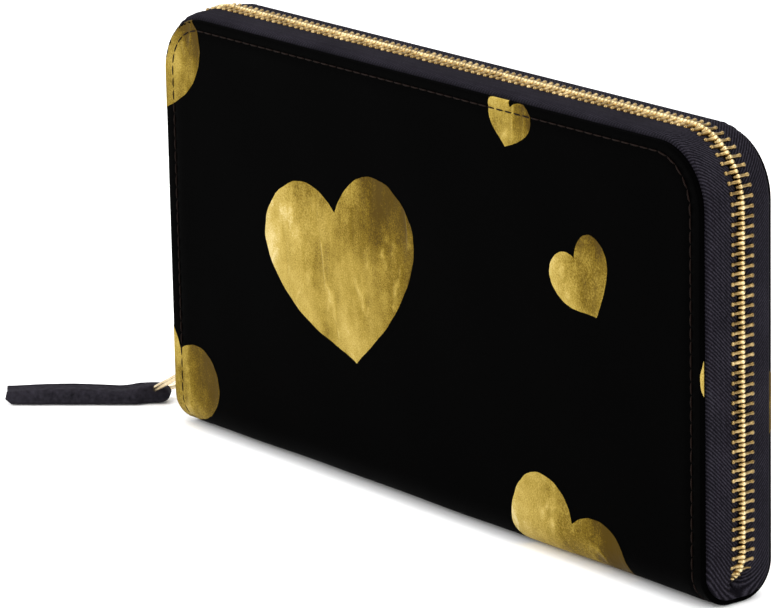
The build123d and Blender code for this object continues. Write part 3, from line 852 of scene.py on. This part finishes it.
def metal(name, dark, middle, bright, rough=(0.22, 0.42), scratch=0.12, painted_highlight_mm=0.0):
    """Plated metal, cloudy and finely scratched; a painted highlight makes it near-white within the given
    distance of the chain's middle.
    """
    n = Nodes(name)
    cloud = n.noise(n.place, 260.0, 5.0)
    fine = n.noise(n.scaled(1, 1, 0.12), 2400.0, 3.0)
    wear = n.noise(n.place, 900.0, 4.0)
    tone = n.total((cloud, 0.7), (wear, 0.3))
    stops = [(0.30, dark), (0.5, middle), (0.70, bright)]
    # painted highlight: metal within the given distance of the chain's middle, where the teeth's heads catch
    # the light, is coloured near-white gold
    if painted_highlight_mm:
        across = n.node("ShaderNodeSeparateXYZ", Vector=n.place).outputs[1]
        near = n.span(n.math("ABSOLUTE", across), 1.0, 0.0, 0.3 * painted_highlight_mm * MM, painted_highlight_mm * MM)
        tone = n.total((near, 0.22), base=tone)
        stops.append((0.95, (0.92, 0.80, 0.50)))
    colour = n.ramp(tone, *stops)
    gloss = n.span(cloud, rough[0], rough[1], 0.3, 0.7)
    normal = n.bump(fine, scratch, 0.04)
    normal = n.bump(wear, scratch * 1.2, 0.08, normal)
    return n.done(colour, gloss, normal, metal=1.0)


def floor_paper(name):
    """White paper with the faintest tooth."""
    n = Nodes(name)
    tooth = n.noise(n.place, 220.0, 3.0)
    colour = n.ramp(tooth, (0.2, grey(0.93)), (0.8, grey(0.96)))
    return n.done(colour, n.span(tooth, 0.85, 0.95), n.bump(tooth, 0.03, 0.05), spec=0.1)


BLACK = leather("black_leather", grey(0.0), grey(0.0003), (0.55, 0.66), spec=0.006)
INNER_LEATHER = leather("inner_leather", (0.006, 0.0055, 0.006), (0.014, 0.013, 0.014), pebble=700.0)
TAB_LEATHER = leather("tab_leather", (0.004, 0.0036, 0.0050), (0.022, 0.0200, 0.0265), (0.62, 0.80),
                      pebble=520.0, depth=0.16, spec=0.03, speck=0.7)
FOIL = gold_foil("gold_foil")
BROWN_THREAD = thread("brown_thread", (0.0015, 0.0008, 0.0006), (0.012, 0.0055, 0.0035))
BLACK_THREAD = thread("black_thread", grey(0.003), grey(0.02))
TAPE_CLOTH = twill("zip_tape_weave")
LINING = cloth("lining_cloth", (0.010, 0.009, 0.010), (0.045, 0.040, 0.044))
BOARD = board_card("board")
# the brass teeth carry a painted highlight: lighter colour along the chain's middle
BRASS = metal("zip_brass", (0.085, 0.052, 0.018), (0.26, 0.175, 0.068), (0.58, 0.44, 0.22), (0.20, 0.38),
              scratch=0.3, painted_highlight_mm=0.75)
PALE_GOLD = metal("pale_gold", (0.58, 0.43, 0.23), (0.78, 0.62, 0.38), (0.92, 0.80, 0.58), (0.18, 0.34), 0.10)


# ---- cover leather, its prints and its stitching ----
SIDES = (("front", 1, "front_cover"), ("back", -1, "back_cover"))


def bend_with_cover(piece, way, body):
    """Bakes the piece's placement into its mesh."""
    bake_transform(piece)


for side, way, body in SIDES:
    shell = cover_shell(side + "_cover_leather", way, BLACK)
    bend_with_cover(shell, way, body)
    if side == "front":
        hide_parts("front_leather", "spine_leather")
    else:
        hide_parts("back_leather")
    sewing = stitching(side + "_cover_stitches", way, BROWN_THREAD)
    bend_with_cover(sewing, way, body)

for prefix, hearts in (("_heart_", FRONT_HEARTS), ("_heart_b_", BACK_HEARTS)):
    for print_name, heart in hearts.items():
        for side, way, body in SIDES:
            leaf = foil(side + prefix + print_name, heart, way, FOIL)
            if leaf is not None:
                bend_with_cover(leaf, way, body)

# ---- zip ----
LEFT_RUN, LEFT_RUN_FOOT = 1, 18.9     # the run that the slider travels, and the least height of its teeth
MAIN_FOOT = CURL_END_RIGHT + 0.7      # no tooth of the later runs lies lower


def left_run(number, z):
    """Teeth on the straight run that the slider travels."""
    return number == LEFT_RUN and z > LEFT_RUN_FOOT


def main_run(number, z):
    """Teeth on all that follows: over the top and down the right end."""
    return number > LEFT_RUN and z > MAIN_FOOT


def bend_with_zip(piece, way, body):
    """Bakes the piece's placement into its mesh."""
    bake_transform(piece)


for side, way, body in SIDES:
    band = tape(side + "_zip_tape_woven", way, TAPE_CLOTH)
    bend_with_zip(band, way, body)
    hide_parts(side + "_zip_tape")
    shift = 0.0 if way == 1 else TOOTH_PITCH / 2
    teeth = tooth_row(side + "_zip_metal_teeth", way, shift, main_run, BRASS)
    bend_with_zip(teeth, way, body)
    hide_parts(side + "_zip_teeth")
    teeth = tooth_row(side + "_zip_metal_teeth_left", way, shift, left_run, BRASS)
    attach(teeth, body)
    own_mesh(teeth)
    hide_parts(side + "_zip_teeth_left")


# ---- slider, its bridge and the pull ring ----
def slab(verts, faces, outline, heights, place):
    """A rounded-edge plate: outline is (u, v) points, heights are (height, shrink) from bottom to top."""
    base, count = len(verts), len(outline)
    for height, shrink in heights:
        for u, v in outline:
            reach = max(1e-6, math.hypot(u, v))
            verts.append(place(u * (1 - shrink / reach), v * (1 - shrink / reach), height))
    faces += quads(len(heights), count, base, close=True)
    caps(faces, base, len(heights), count)


def rounded_outline(corners, radius, steps=5):
    """A polygon with every corner rounded off."""
    points = []
    for i, here in enumerate(corners):
        here, before, after = Vector(here), Vector(corners[i - 1]), Vector(corners[(i + 1) % len(corners)])
        a = here + (before - here).normalized() * radius
        b = here + (after - here).normalized() * radius
        for k in range(steps + 1):
            t = k / steps
            points.append(tuple((1 - t) ** 2 * a + 2 * t * (1 - t) * here + t * t * b))
    return points


def plate_heights(low, high, edge):
    """Bottom to top of a plate with both edges rounded."""
    rising = [(low, edge), (low + edge * 0.3, edge * 0.3), (low + edge, 0.0)]
    return rising + [(high - edge, 0.0), (high - edge * 0.3, edge * 0.3), (high, edge)]


SLIDER_Z = 12.6
SLIDER_HALF = 5.5
SLIDER_MOUTH, SLIDER_NECK, SLIDER_NOSE = 4.5, 3.8, 1.9     # half widths, from the foot up
NARROW_Z, NECK_Z = -1.2, 3.6      # heights from its middle where it narrows, and where the nose begins
PLATE, PLATE_GAP, PLATE_EDGE, PLATE_ROUND = 1.0, 1.5, 0.28, 0.9
LIP_Y, LIP_GAP = 3.65, 0.42


def slider_shell():
    """Front and back plates, the lips along their sides and the post that parts the teeth."""
    verts, faces = [], []
    rising = [(SLIDER_MOUTH, NARROW_Z), (SLIDER_NECK, NECK_Z), (SLIDER_NOSE, SLIDER_HALF)]
    falling = [(-u, v) for u, v in reversed(rising)]
    foot = [(-SLIDER_MOUTH, -SLIDER_HALF), (SLIDER_MOUTH, -SLIDER_HALF)]
    outline = rounded_outline(foot + rising + falling, PLATE_ROUND)
    for side in (-1, 1):
        inner, outer = PLATE_GAP, PLATE_GAP + PLATE

        def place(u, v, height, side=side):
            return Vector((-EDGE_X + side * height, u, SLIDER_Z + v))

        slab(verts, faces, outline, plate_heights(inner, outer, PLATE_EDGE), place)
        for hand in (-1, 1):
            lip = rounded_outline([(-0.55, -2.9), (0.55, -2.9), (0.2, NECK_Z), (-0.5, NECK_Z)], 0.35)

            def lip_place(u, v, height, side=side, hand=hand):
                return Vector((-EDGE_X + side * height, hand * (LIP_Y + u), SLIDER_Z + v))

            slab(verts, faces, lip, plate_heights(LIP_GAP, PLATE_GAP + 0.3, 0.15), lip_place)
    post = rounded_outline([(0, -5.2), (0.8, -4.1), (0, -1.9), (-0.8, -4.1)], 0.3)
    slab(verts, faces, post, [(-PLATE_GAP - 0.2, 0), (PLATE_GAP + 0.2, 0)],
         lambda u, v, height: Vector((-EDGE_X + height, u, SLIDER_Z + v)))
    return mesh_object("zip_slider_shell", verts, faces, PALE_GOLD, sharp=42)


def tube(name, path, normal, radius, material, close=False, flat=1.0, around=16):
    """A wire along a plane path; normal is the plane's normal and flat thins the wire along it."""
    verts, faces = [], []
    count = len(path)
    for i, spot in enumerate(path):
        ahead = path[(i + 1) % count] if close or i < count - 1 else path[i]
        behind = path[i - 1] if close or i > 0 else path[i]
        side = (ahead - behind).normalized().cross(normal).normalized()
        for k in range(around):
            turn = 2 * math.pi * k / around
            verts.append(spot + side * radius * math.cos(turn) + normal * radius * flat * math.sin(turn))
    faces += quads(count, around, close=True)
    if close:
        last = (count - 1) * around
        faces += [(last + k, last + (k + 1) % around, (k + 1) % around, k) for k in range(around)]
    else:
        caps(faces, 0, count, around)
    return mesh_object(name, verts, faces, material, sharp=60)


PIVOT = Vector((-103.0, 0, 10.1))
RING_TIP = Vector((-117.4, 0, 2.3))
RING_HALF = 4.2
RING_NEAR_R = 1.6
WIRE_R = 0.65
RING_DRAWN_R = 0.80       # the photo shows the ring's wire a little stouter than the solid
BRIDGE_R, BRIDGE_HALF, BRIDGE_SUNK, BRIDGE_PLAY = 0.45, 4.3, 0.35, 0.3
ring_dir = (RING_TIP - PIVOT).normalized()
ring_normal = ring_dir.cross(Vector((0, 1, 0))).normalized()
limb_end = (RING_TIP - PIVOT).length - RING_HALF


def ring_path():
    """Middle of the ring's wire: straight across the slider, round at the tab."""
    straight = RING_HALF - RING_NEAR_R
    flat = []
    for i in range(8):
        flat.append((0.0, straight * i / 8))
    for i in range(9):
        turn = math.pi - i * math.pi / 16
        flat.append((RING_NEAR_R + RING_NEAR_R * math.cos(turn), straight + RING_NEAR_R * math.sin(turn)))
    for i in range(1, 12):
        flat.append((RING_NEAR_R + (limb_end - RING_NEAR_R) * i / 12, RING_HALF))
    for i in range(17):
        turn = math.pi / 2 - i * math.pi / 32
        flat.append((limb_end + RING_HALF * math.cos(turn), RING_HALF * math.sin(turn)))
    mirrored = [(u, -v) for u, v in reversed(flat[1:-1])]
    return [PIVOT + ring_dir * u + Vector((0, v, 0)) for u, v in flat + mirrored]


def bridge_path():
    """Middle of the strap that arches over the slider and holds the ring."""
    foot = -EDGE_X - PLATE_GAP - PLATE + BRIDGE_SUNK
    crown = PIVOT.x - WIRE_R - BRIDGE_PLAY - BRIDGE_R
    half = BRIDGE_HALF - BRIDGE_R
    points = []
    for i in range(33):
        turn = math.pi * i / 32
        out = foot + (crown - foot) * min(1.0, math.sin(turn) ** 0.42)
        points.append(Vector((out, 0, SLIDER_Z - half * math.cos(turn))))
    return points


slider_piece = slider_shell()
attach(slider_piece, "slider")
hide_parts("slider_body")
bridge_piece = tube("zip_slider_bridge_strap", bridge_path(), Vector((0, 1, 0)), BRIDGE_R,
                    PALE_GOLD, flat=2.6)
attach(bridge_piece, "slider")
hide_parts("slider_bridge")
ring_piece = tube("pull_ring_wire", ring_path(), ring_normal, RING_DRAWN_R, PALE_GOLD, close=True)
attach(ring_piece, "ring")
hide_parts("pull_ring")

# ---- leather pull tab: a strap folded round the ring and sewn ----
TAB_TURN = math.radians(48)
TAB_LENGTH, TAB_WIDTH, TAB_THICK = 37.5, 7.6, 3.4
TAB_SLANT, TAB_UNDERCUT, TAB_TOPCUT = -0.3, 1.5, 0.6     # the free end cut back: near side, foot, top
LOOP_WIDTH, LOOP_REACH, LOOP_RISE, LOOP_NOSE = 4.4, 3.9, 1.65, 2.1
TAB_LIFT = 0.03
tab_dir = Vector((-math.cos(TAB_TURN), -math.sin(TAB_TURN), 0))
tab_side = Vector((math.sin(TAB_TURN), -math.cos(TAB_TURN), 0))
grip = PIVOT + ring_dir * limb_end
grip += RING_HALF * (math.cos(TAB_TURN) * ring_dir - math.sin(TAB_TURN) * Vector((0, 1, 0)))
GROOVE_AT = -0.45         # share of the half width, from the middle towards the far side


def tab_shape(along):
    """Half width, half thickness and middle height of the strap at a distance from the ring."""
    if along < 0:
        bend = math.sqrt(max(0.0, 1 - (-along / LOOP_REACH) ** 2.4))
        top = LOOP_NOSE + (grip.z + LOOP_RISE - LOOP_NOSE) * bend
        bottom = LOOP_NOSE - (LOOP_NOSE - TAB_LIFT) * bend
        return LOOP_WIDTH / 2, max(0.12, (top - bottom) / 2), (top + bottom) / 2
    share = min(1.0, along / 10.0)
    ease = share * share * (3 - 2 * share)
    wide = LOOP_WIDTH / 2 + (TAB_WIDTH / 2 - LOOP_WIDTH / 2) * min(1.0, ease * 2.6)
    arch = 0.55 * math.sin(math.pi * min(1.0, max(0.0, (along - 7) / 30))) ** 1.2
    top = grip.z + LOOP_RISE + (TAB_THICK - 0.05 - grip.z - LOOP_RISE) * ease + arch
    return wide, (top - TAB_LIFT) / 2, (top + TAB_LIFT) / 2


def strap_section(steps=34):
    """Unit outline of the strap's cut, evenly spaced over its broad faces."""
    top = []
    for i in range(steps):
        v = math.cos(math.pi * i / (steps - 1)) * 0.35 + (1 - 2 * i / (steps - 1)) * 0.65
        top.append((v, (max(0.0, 1 - abs(v) ** 9)) ** 0.5))
    return top + [(v, -h) for v, h in reversed(top[1:-1])]


def tab_mesh():
    """The strap, with its groove, slightly wavy sides and ragged free end."""
    verts, faces = [], []
    section = strap_section()
    around, stations = len(section), 130
    for i in range(stations):
        share = i / (stations - 1)
        along = -LOOP_REACH + 0.02 + (TAB_LENGTH + LOOP_REACH - 0.02) * share
        wide, thick, middle = tab_shape(along)
        wide *= 1 + 0.012 * math.sin(along * 0.7) + 0.008 * math.sin(along * 1.9)
        end = max(0.0, share - 0.92) / 0.08
        for unit_v, unit_h in section:
            v, h = unit_v * wide, unit_h * thick
            if unit_h > 0 and along > 3:
                h -= 0.85 * math.exp(-((unit_v - GROOVE_AT) / 0.14) ** 2)
                h += 0.12 * math.exp(-((unit_v - GROOVE_AT - 0.30) / 0.20) ** 2)
            cut = TAB_SLANT * unit_v - TAB_UNDERCUT * max(0.0, -unit_h) - TAB_TOPCUT * max(0.0, unit_h - 0.3)
            ragged = 0.16 * end * math.sin(unit_v * 19)
            spot = Vector((grip.x, grip.y, 0)) + tab_dir * (along + end * cut + ragged)
            verts.append(spot + tab_side * v + Vector((0, 0, max(0.02, middle + h))))
    faces += quads(stations, around, close=True)
    caps(faces, 0, stations, around)
    return mesh_object("pull_tab_strap", verts, faces, TAB_LEATHER, sharp=50)


def tab_stitches():
    """A line of stitches down the groove."""
    verts, faces = [], []
    along = 4.6
    while along < TAB_LENGTH - 3.0:
        ends = []
        for at in (along, along + 1.7):
            wide, thick, middle = tab_shape(at)
            spot = Vector((grip.x, grip.y, 0)) + tab_dir * at + tab_side * (GROOVE_AT * wide)
            ends.append(spot + Vector((0, 0, middle + thick - 0.66)))
        capsule(verts, faces, ends[0], ends[1], Vector((0, 0, 1)), 0.2)
        along += 2.2
    return mesh_object("pull_tab_stitches", verts, faces, BLACK_THREAD)


tab_piece = tab_mesh()
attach(tab_piece, "tab")
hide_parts("pull_tab")
tab_sewing = tab_stitches()
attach(tab_sewing, "tab")


# ---- inside: linings, card pockets, coin pocket, gussets ----
def double_grid(name, outside, inside, material):
    """A thin closed piece from two grids of points that face each other."""
    rows, columns = len(outside), len(outside[0])
    verts = [p for row in outside for p in row] + [p for row in inside for p in row]
    return mesh_object(name, verts, double_faces(rows, columns), material, sharp=60)


LINING_INSET, LINING_DEPTH, LINING_THICK = 0.8, 1.8, 0.4
LINING_FOOT_HALF = 90.0


def lining_width(s):
    """Half width of the lining at a distance along the fold."""
    low_s = S_TOP - CORNER_R
    if s > low_s:
        radius = CORNER_R - LINING_INSET
        return HALF_L - CORNER_R + math.sqrt(max(0.0, radius ** 2 - (s - low_s) ** 2))
    share = max(0.0, min(1.0, (s - S_FACE) / 4.0))
    return LINING_FOOT_HALF + (HALF_L - LINING_INSET - LINING_FOOT_HALF) * share


def lining_mesh(name, way):
    high = S_TOP - LINING_INSET
    rows = [high * (i / 70) for i in range(66)]
    rows += [high - 5.2 * math.cos(math.pi / 2 * i / 12) ** 1.6 for i in range(1, 13)]
    columns = 90
    outside, inside = [], []
    for s in rows:
        wide = lining_width(min(s, high))
        near, far = [], []
        for c in range(columns + 1):
            x = wide * math.sin(math.pi / 2 * (2 * c / columns - 1))
            edge = min(wide - abs(x), high - s)
            soft = 0.05 * math.sin(x * 0.9 + s * 0.2) * math.exp(-edge / 3.0)
            soft += 0.03 * math.sin(x * 0.13) * math.sin(s * 0.11)
            point, normal = profile(way * s)
            low = point - normal * LINING_DEPTH
            high_point = point - normal * (LINING_DEPTH + LINING_THICK - max(0.0, soft))
            near.append(Vector((x, low.y, low.z)))
            far.append(Vector((x, high_point.y, high_point.z)))
        outside.append(near)
        inside.append(far)
    return double_grid(name, outside, inside, LINING)


CARD_PLY, CARD_STEP, CARD_LOW, CARD_HIGH, CARD_WIDTH, CARD_GAP = 0.25, 9.0, 12.0, 81.0, 88.5, 1.0
CARD_Y = 8.05


def card_mesh(name, way, number):
    """One ply of card pockets across both columns, its mouth turned over and creased."""
    high = CARD_HIGH - (number - 1) * CARD_STEP
    near_y = CARD_Y - (number - 1) * CARD_PLY
    verts, faces = [], []
    for column in (-1, 1):
        middle = column * (CARD_WIDTH + CARD_GAP) / 2
        heights = [CARD_LOW + (high - 3 - CARD_LOW) * i / 24 for i in range(25)]
        heights += [high - 3 + 3 * i / 12 for i in range(1, 13)]
        block = len(verts)
        columns = 46
        for layer in (0, 1):
            for z in heights:
                for c in range(columns):
                    x = middle + CARD_WIDTH * (c / (columns - 1) - 0.5)
                    down = high - z
                    sag = 0.22 * (1 - (2 * c / (columns - 1) - 1) ** 2) * math.exp(-down / 2.0)
                    y = near_y - (CARD_PLY - 0.01 if layer else 0.0)
                    if layer:
                        y += 0.07 * math.exp(-((down - 1.5) / 0.28) ** 2)
                        y += 0.10 * max(0.0, 1 - down / 0.35)
                    verts.append(Vector((x, -way * y, z - sag)))
        faces += double_faces(len(heights), columns, block)
    return mesh_object(name, verts, faces, INNER_LEATHER, sharp=60)


def card_stitches(name, way):
    """Rows of stitches that hold the card pockets: down each column's sides."""
    verts, faces = [], []
    up = Vector((0, way, 0))
    for column in (-1, 1):
        middle = column * (CARD_WIDTH + CARD_GAP) / 2
        for edge in (-1, 1):
            x = middle + edge * (CARD_WIDTH / 2 - 1.6)
            z = CARD_LOW + 1.0
            while z < CARD_HIGH - 2.2:
                ply = min(4, int((CARD_HIGH - z - 0.001) / CARD_STEP) + 1)
                top = CARD_HIGH - (ply - 1) * CARD_STEP
                y = CARD_Y - ply * CARD_PLY
                if ply == 4 or z - (top - CARD_STEP) > 0.6:
                    start = Vector((x, -way * y, z))
                    end = Vector((x, -way * y, z + 1.9))
                    if end.z < top - 0.3:
                        capsule(verts, faces, start, end, up, 0.14)
                z += 2.4
    return mesh_object(name, verts, faces, BROWN_THREAD)


COIN_HALF_L, COIN_Y, COIN_WALL, COIN_LOW, COIN_TOP = 85.5, 2.8, 0.6, 1.6, 86.0
COIN_TAPE, COIN_CHAIN_Z = 0.45, 86.25     # the tape's thickness and the height of the chain's middle


def coin_mesh(name, way):
    """One wall of the coin pocket, pinched into the seam at its sides and foot."""
    outside, inside = [], []
    rows, columns = 60, 90
    for r in range(rows + 1):
        z = COIN_LOW + (COIN_TOP - COIN_LOW) * (1 - math.cos(math.pi * r / rows)) / 2
        near, far = [], []
        for c in range(columns + 1):
            x = -COIN_HALF_L * math.cos(math.pi * c / columns)
            side = COIN_HALF_L - abs(x)
            foot = z - COIN_LOW
            rise = min(1.0, side / 1.8) ** 0.5 * min(1.0, foot / 1.8) ** 0.5
            pucker = 0.10 * math.sin(z * 0.8) * math.exp(-side / 2.5)
            pucker += 0.10 * math.sin(x * 0.8) * math.exp(-foot / 2.5)
            body = 0.12 * math.sin(x * 0.05) * math.sin(z * 0.04)
            out = COIN_WALL + 0.02 + (COIN_Y - COIN_WALL - 0.2) * rise
            out -= max(0.0, pucker + body) * min(1.0, (COIN_TOP - z) / 4)
            near.append(Vector((x, -way * out, z)))
            far.append(Vector((x, -way * max(0.02, out - COIN_WALL), z)))
        outside.append(near)
        inside.append(far)
    return double_grid(name, outside, inside, LINING)


def coin_tape(name, way):
    """The coin zip's tape along the pocket's mouth."""
    outside, inside = [], []
    columns = 170
    places = [COIN_HALF_L * (2 * c / columns - 1) for c in range(columns + 1)]
    for y, lift in ((1.70, 0.10), (1.85, 0.0), (2.2, 0.0), (2.55, 0.0), (2.75, 0.0)):
        outside.append([Vector((x, -way * y, COIN_TOP + COIN_TAPE + lift)) for x in places])
        inside.append([Vector((x, -way * y, COIN_TOP)) for x in places])
    piece = double_grid(name, outside, inside, TAPE_CLOTH)
    put_uv(piece, lambda p: (p.x, p.y))
    return piece


COIN_PITCH, COIN_CHAIN_START, COIN_CHAIN_END, COIN_SCALE, COIN_ROOT = 2.0, -72.6, 81.5, 0.56, 1.75


def coin_teeth(name, way):
    """One row of the coin zip's teeth."""
    verts, faces = [], []
    x = COIN_CHAIN_START + (0 if way == 1 else COIN_PITCH / 2)
    while x < COIN_CHAIN_END:
        add_tooth(verts, faces, Vector((x, 0, COIN_CHAIN_Z)), Vector((0, 0, 1)), way, COIN_SCALE)
        x += COIN_PITCH
    return mesh_object(name, verts, faces, BRASS, sharp=50)


GUSSET_THICK, GUSSET_LOW, GUSSET_HIGH = 0.25, 12.0, 85.0
PLEAT_COVER, PLEAT_COIN = Vector((95.3, 7.75)), Vector((85.9, 3.10))     # (across, out) at the two sewn edges
PLEAT_FOLD, PLEAT_LEAN = Vector((82.0, 4.5)), 12.0     # the fold at the foot, and how far in its top leans


def gusset_mesh(name, way, hand):
    """A cloth pleat from the cover's edge in to the fold and back out to the coin pocket."""
    outside, inside = [], []
    rows = 40
    for r in range(rows + 1):
        share = r / rows
        z = GUSSET_LOW + (GUSSET_HIGH - GUSSET_LOW) * share
        fold = Vector((PLEAT_FOLD.x - PLEAT_LEAN * share, PLEAT_FOLD.y))
        near, far = [], []
        columns = 26
        for c in range(columns + 1):
            t = c / columns
            spot = PLEAT_COVER.lerp(fold, t * 2) if t <= 0.5 else fold.lerp(PLEAT_COIN, t * 2 - 1)
            round_off = math.exp(-((t - 0.5) / 0.05) ** 2)
            spot = Vector((spot.x + 1.3 * round_off, spot.y))
            soft = 0.10 * math.sin(z * 0.33 + hand) * math.sin(math.pi * t) * (1 if t < 0.5 else 0.3)
            x, y = hand * spot.x, spot.y + soft
            height = z + 0.25 * math.sin(t * 7)
            near.append(Vector((x, -way * y, height)))
            far.append(Vector((x, -way * (y + GUSSET_THICK * (1 - 2 * t) * 0.9), height)))
        outside.append(near)
        inside.append(far)
    return double_grid(name, outside, inside, LINING)


for side, way, body in SIDES:
    piece = lining_mesh(side + "_lining_cloth", way)
    bend_with_cover(piece, way, body)
    if side == "front":
        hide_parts("front_lining", "spine_lining")
    else:
        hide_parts("back_lining")
    for number in range(1, 5):
        ply = card_mesh(side + "_card_ply_" + str(number), way, number)
        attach(ply, body)
        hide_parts(side + "_card_pocket_" + str(number))
    sewing = card_stitches(side + "_card_stitches", way)
    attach(sewing, body)
    wall = coin_mesh("coin_wall_" + side, way)
    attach(wall, "spine")
    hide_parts("coin_pocket_" + side)
    band = coin_tape("coin_tape_woven_" + side, way)
    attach(band, "spine")
    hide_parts("coin_zip_tape_" + side)
    teeth = coin_teeth("coin_metal_teeth_" + side, way)
    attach(teeth, "spine")
    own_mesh(teeth)
    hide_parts("coin_zip_teeth_" + side)
    for hand, end in ((-1, "left"), (1, "right")):
        pleat = gusset_mesh(side + "_pleat_" + end, way, hand)
        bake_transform(pleat)
        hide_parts(side + "_gusset_" + end)

# ---- small metal and board nodes shown as they are, with their edges softened ----
HARDWARE = {
    "coin_slider_body": PALE_GOLD,
    "coin_slider_bridge": PALE_GOLD,
    "coin_pull": PALE_GOLD,
    "coin_zip_bottom_stop": BRASS,
    "zip_bottom_stop": BRASS,
    "front_zip_top_stop": BRASS,
    "back_zip_top_stop": BRASS,
    "front_cover_board": BOARD,
    "back_cover_board": BOARD,
}
for node_name, material in HARDWARE.items():
    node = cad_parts[node_name]
    node.data.materials.clear()
    node.data.materials.append(material)
    soften = node.modifiers.new("soft_edges", "BEVEL")
    soften.width = 0.14 * MM
    soften.segments = 3
    soften.limit_method = "ANGLE"
    soften.angle_limit = math.radians(35)

# ---- stage, light and camera ----
FLOOR_HALF, FLOOR_Z = 3000.0, -0.17


def floor_sheet():
    """A broad flat pale floor, just under the leather's lowest point."""
    rows, columns = 40, 24
    verts = []
    for r in range(rows):
        y = FLOOR_HALF * (2 * r / (rows - 1) - 1)
        verts += [Vector((FLOOR_HALF * (2 * c / (columns - 1) - 1), y, FLOOR_Z)) for c in range(columns)]
    return mesh_object("floor", verts, quads(rows, columns), floor_paper("floor_paper"))

floor = floor_sheet()


LIGHT_AIM = Vector((0, 0, 0.05))


def area_light(name, place, size, power):
    """A soft square light aimed at the wallet; place and size in metres."""
    lamp = bpy.data.lights.new(name, "AREA")
    lamp.size = size
    lamp.energy = power
    holder = bpy.data.objects.new(name, lamp)
    bpy.context.collection.objects.link(holder)
    holder.location = place
    holder.rotation_euler = (LIGHT_AIM - Vector(place)).to_track_quat("-Z", "Y").to_euler()

area_light("overhead", (0.1, 0.1, 1.3), 1.6, 16)
area_light("key_left", (-0.75, -1.1, 0.75), 0.9, 14)
area_light("fill_right", (1.2, -0.1, 0.55), 0.8, 8)

world = bpy.data.worlds.new("studio")
world.use_nodes = True
sky = world.node_tree.nodes["Background"]
sky.inputs["Color"].default_value = (1, 1, 1, 1)
sky.inputs["Strength"].default_value = 1.0
bpy.context.scene.world = world
bpy.context.scene.view_settings.view_transform = "Standard"

CAMERA_AZIMUTH = 52.26    # degrees from the front, towards the wallet's right end
CAMERA_ELEVATION = 15.18
CAMERA_ROLL = -1.19
CAMERA_DISTANCE = 1201.4
CAMERA_AIM = Vector((-19.2, -4.86, 45.0))
lens = bpy.data.cameras.new("camera")
lens.lens = 240.8
lens.sensor_width = 36.0
lens.clip_start = 0.05
lens.clip_end = 20.0
camera = bpy.data.objects.new("camera", lens)
bpy.context.collection.objects.link(camera)
azimuth, elevation = math.radians(CAMERA_AZIMUTH), math.radians(CAMERA_ELEVATION)
back = Vector((
    math.sin(azimuth) * math.cos(elevation),
    -math.cos(azimuth) * math.cos(elevation),
    math.sin(elevation),
))
camera.location = (CAMERA_AIM + back * CAMERA_DISTANCE) * MM
turned = (-back).to_track_quat("-Z", "Y").to_matrix().to_4x4()
roll = Matrix.Rotation(math.radians(CAMERA_ROLL), 4, "Z")
camera.rotation_euler = (turned @ roll).to_euler()
bpy.context.scene.camera = camera
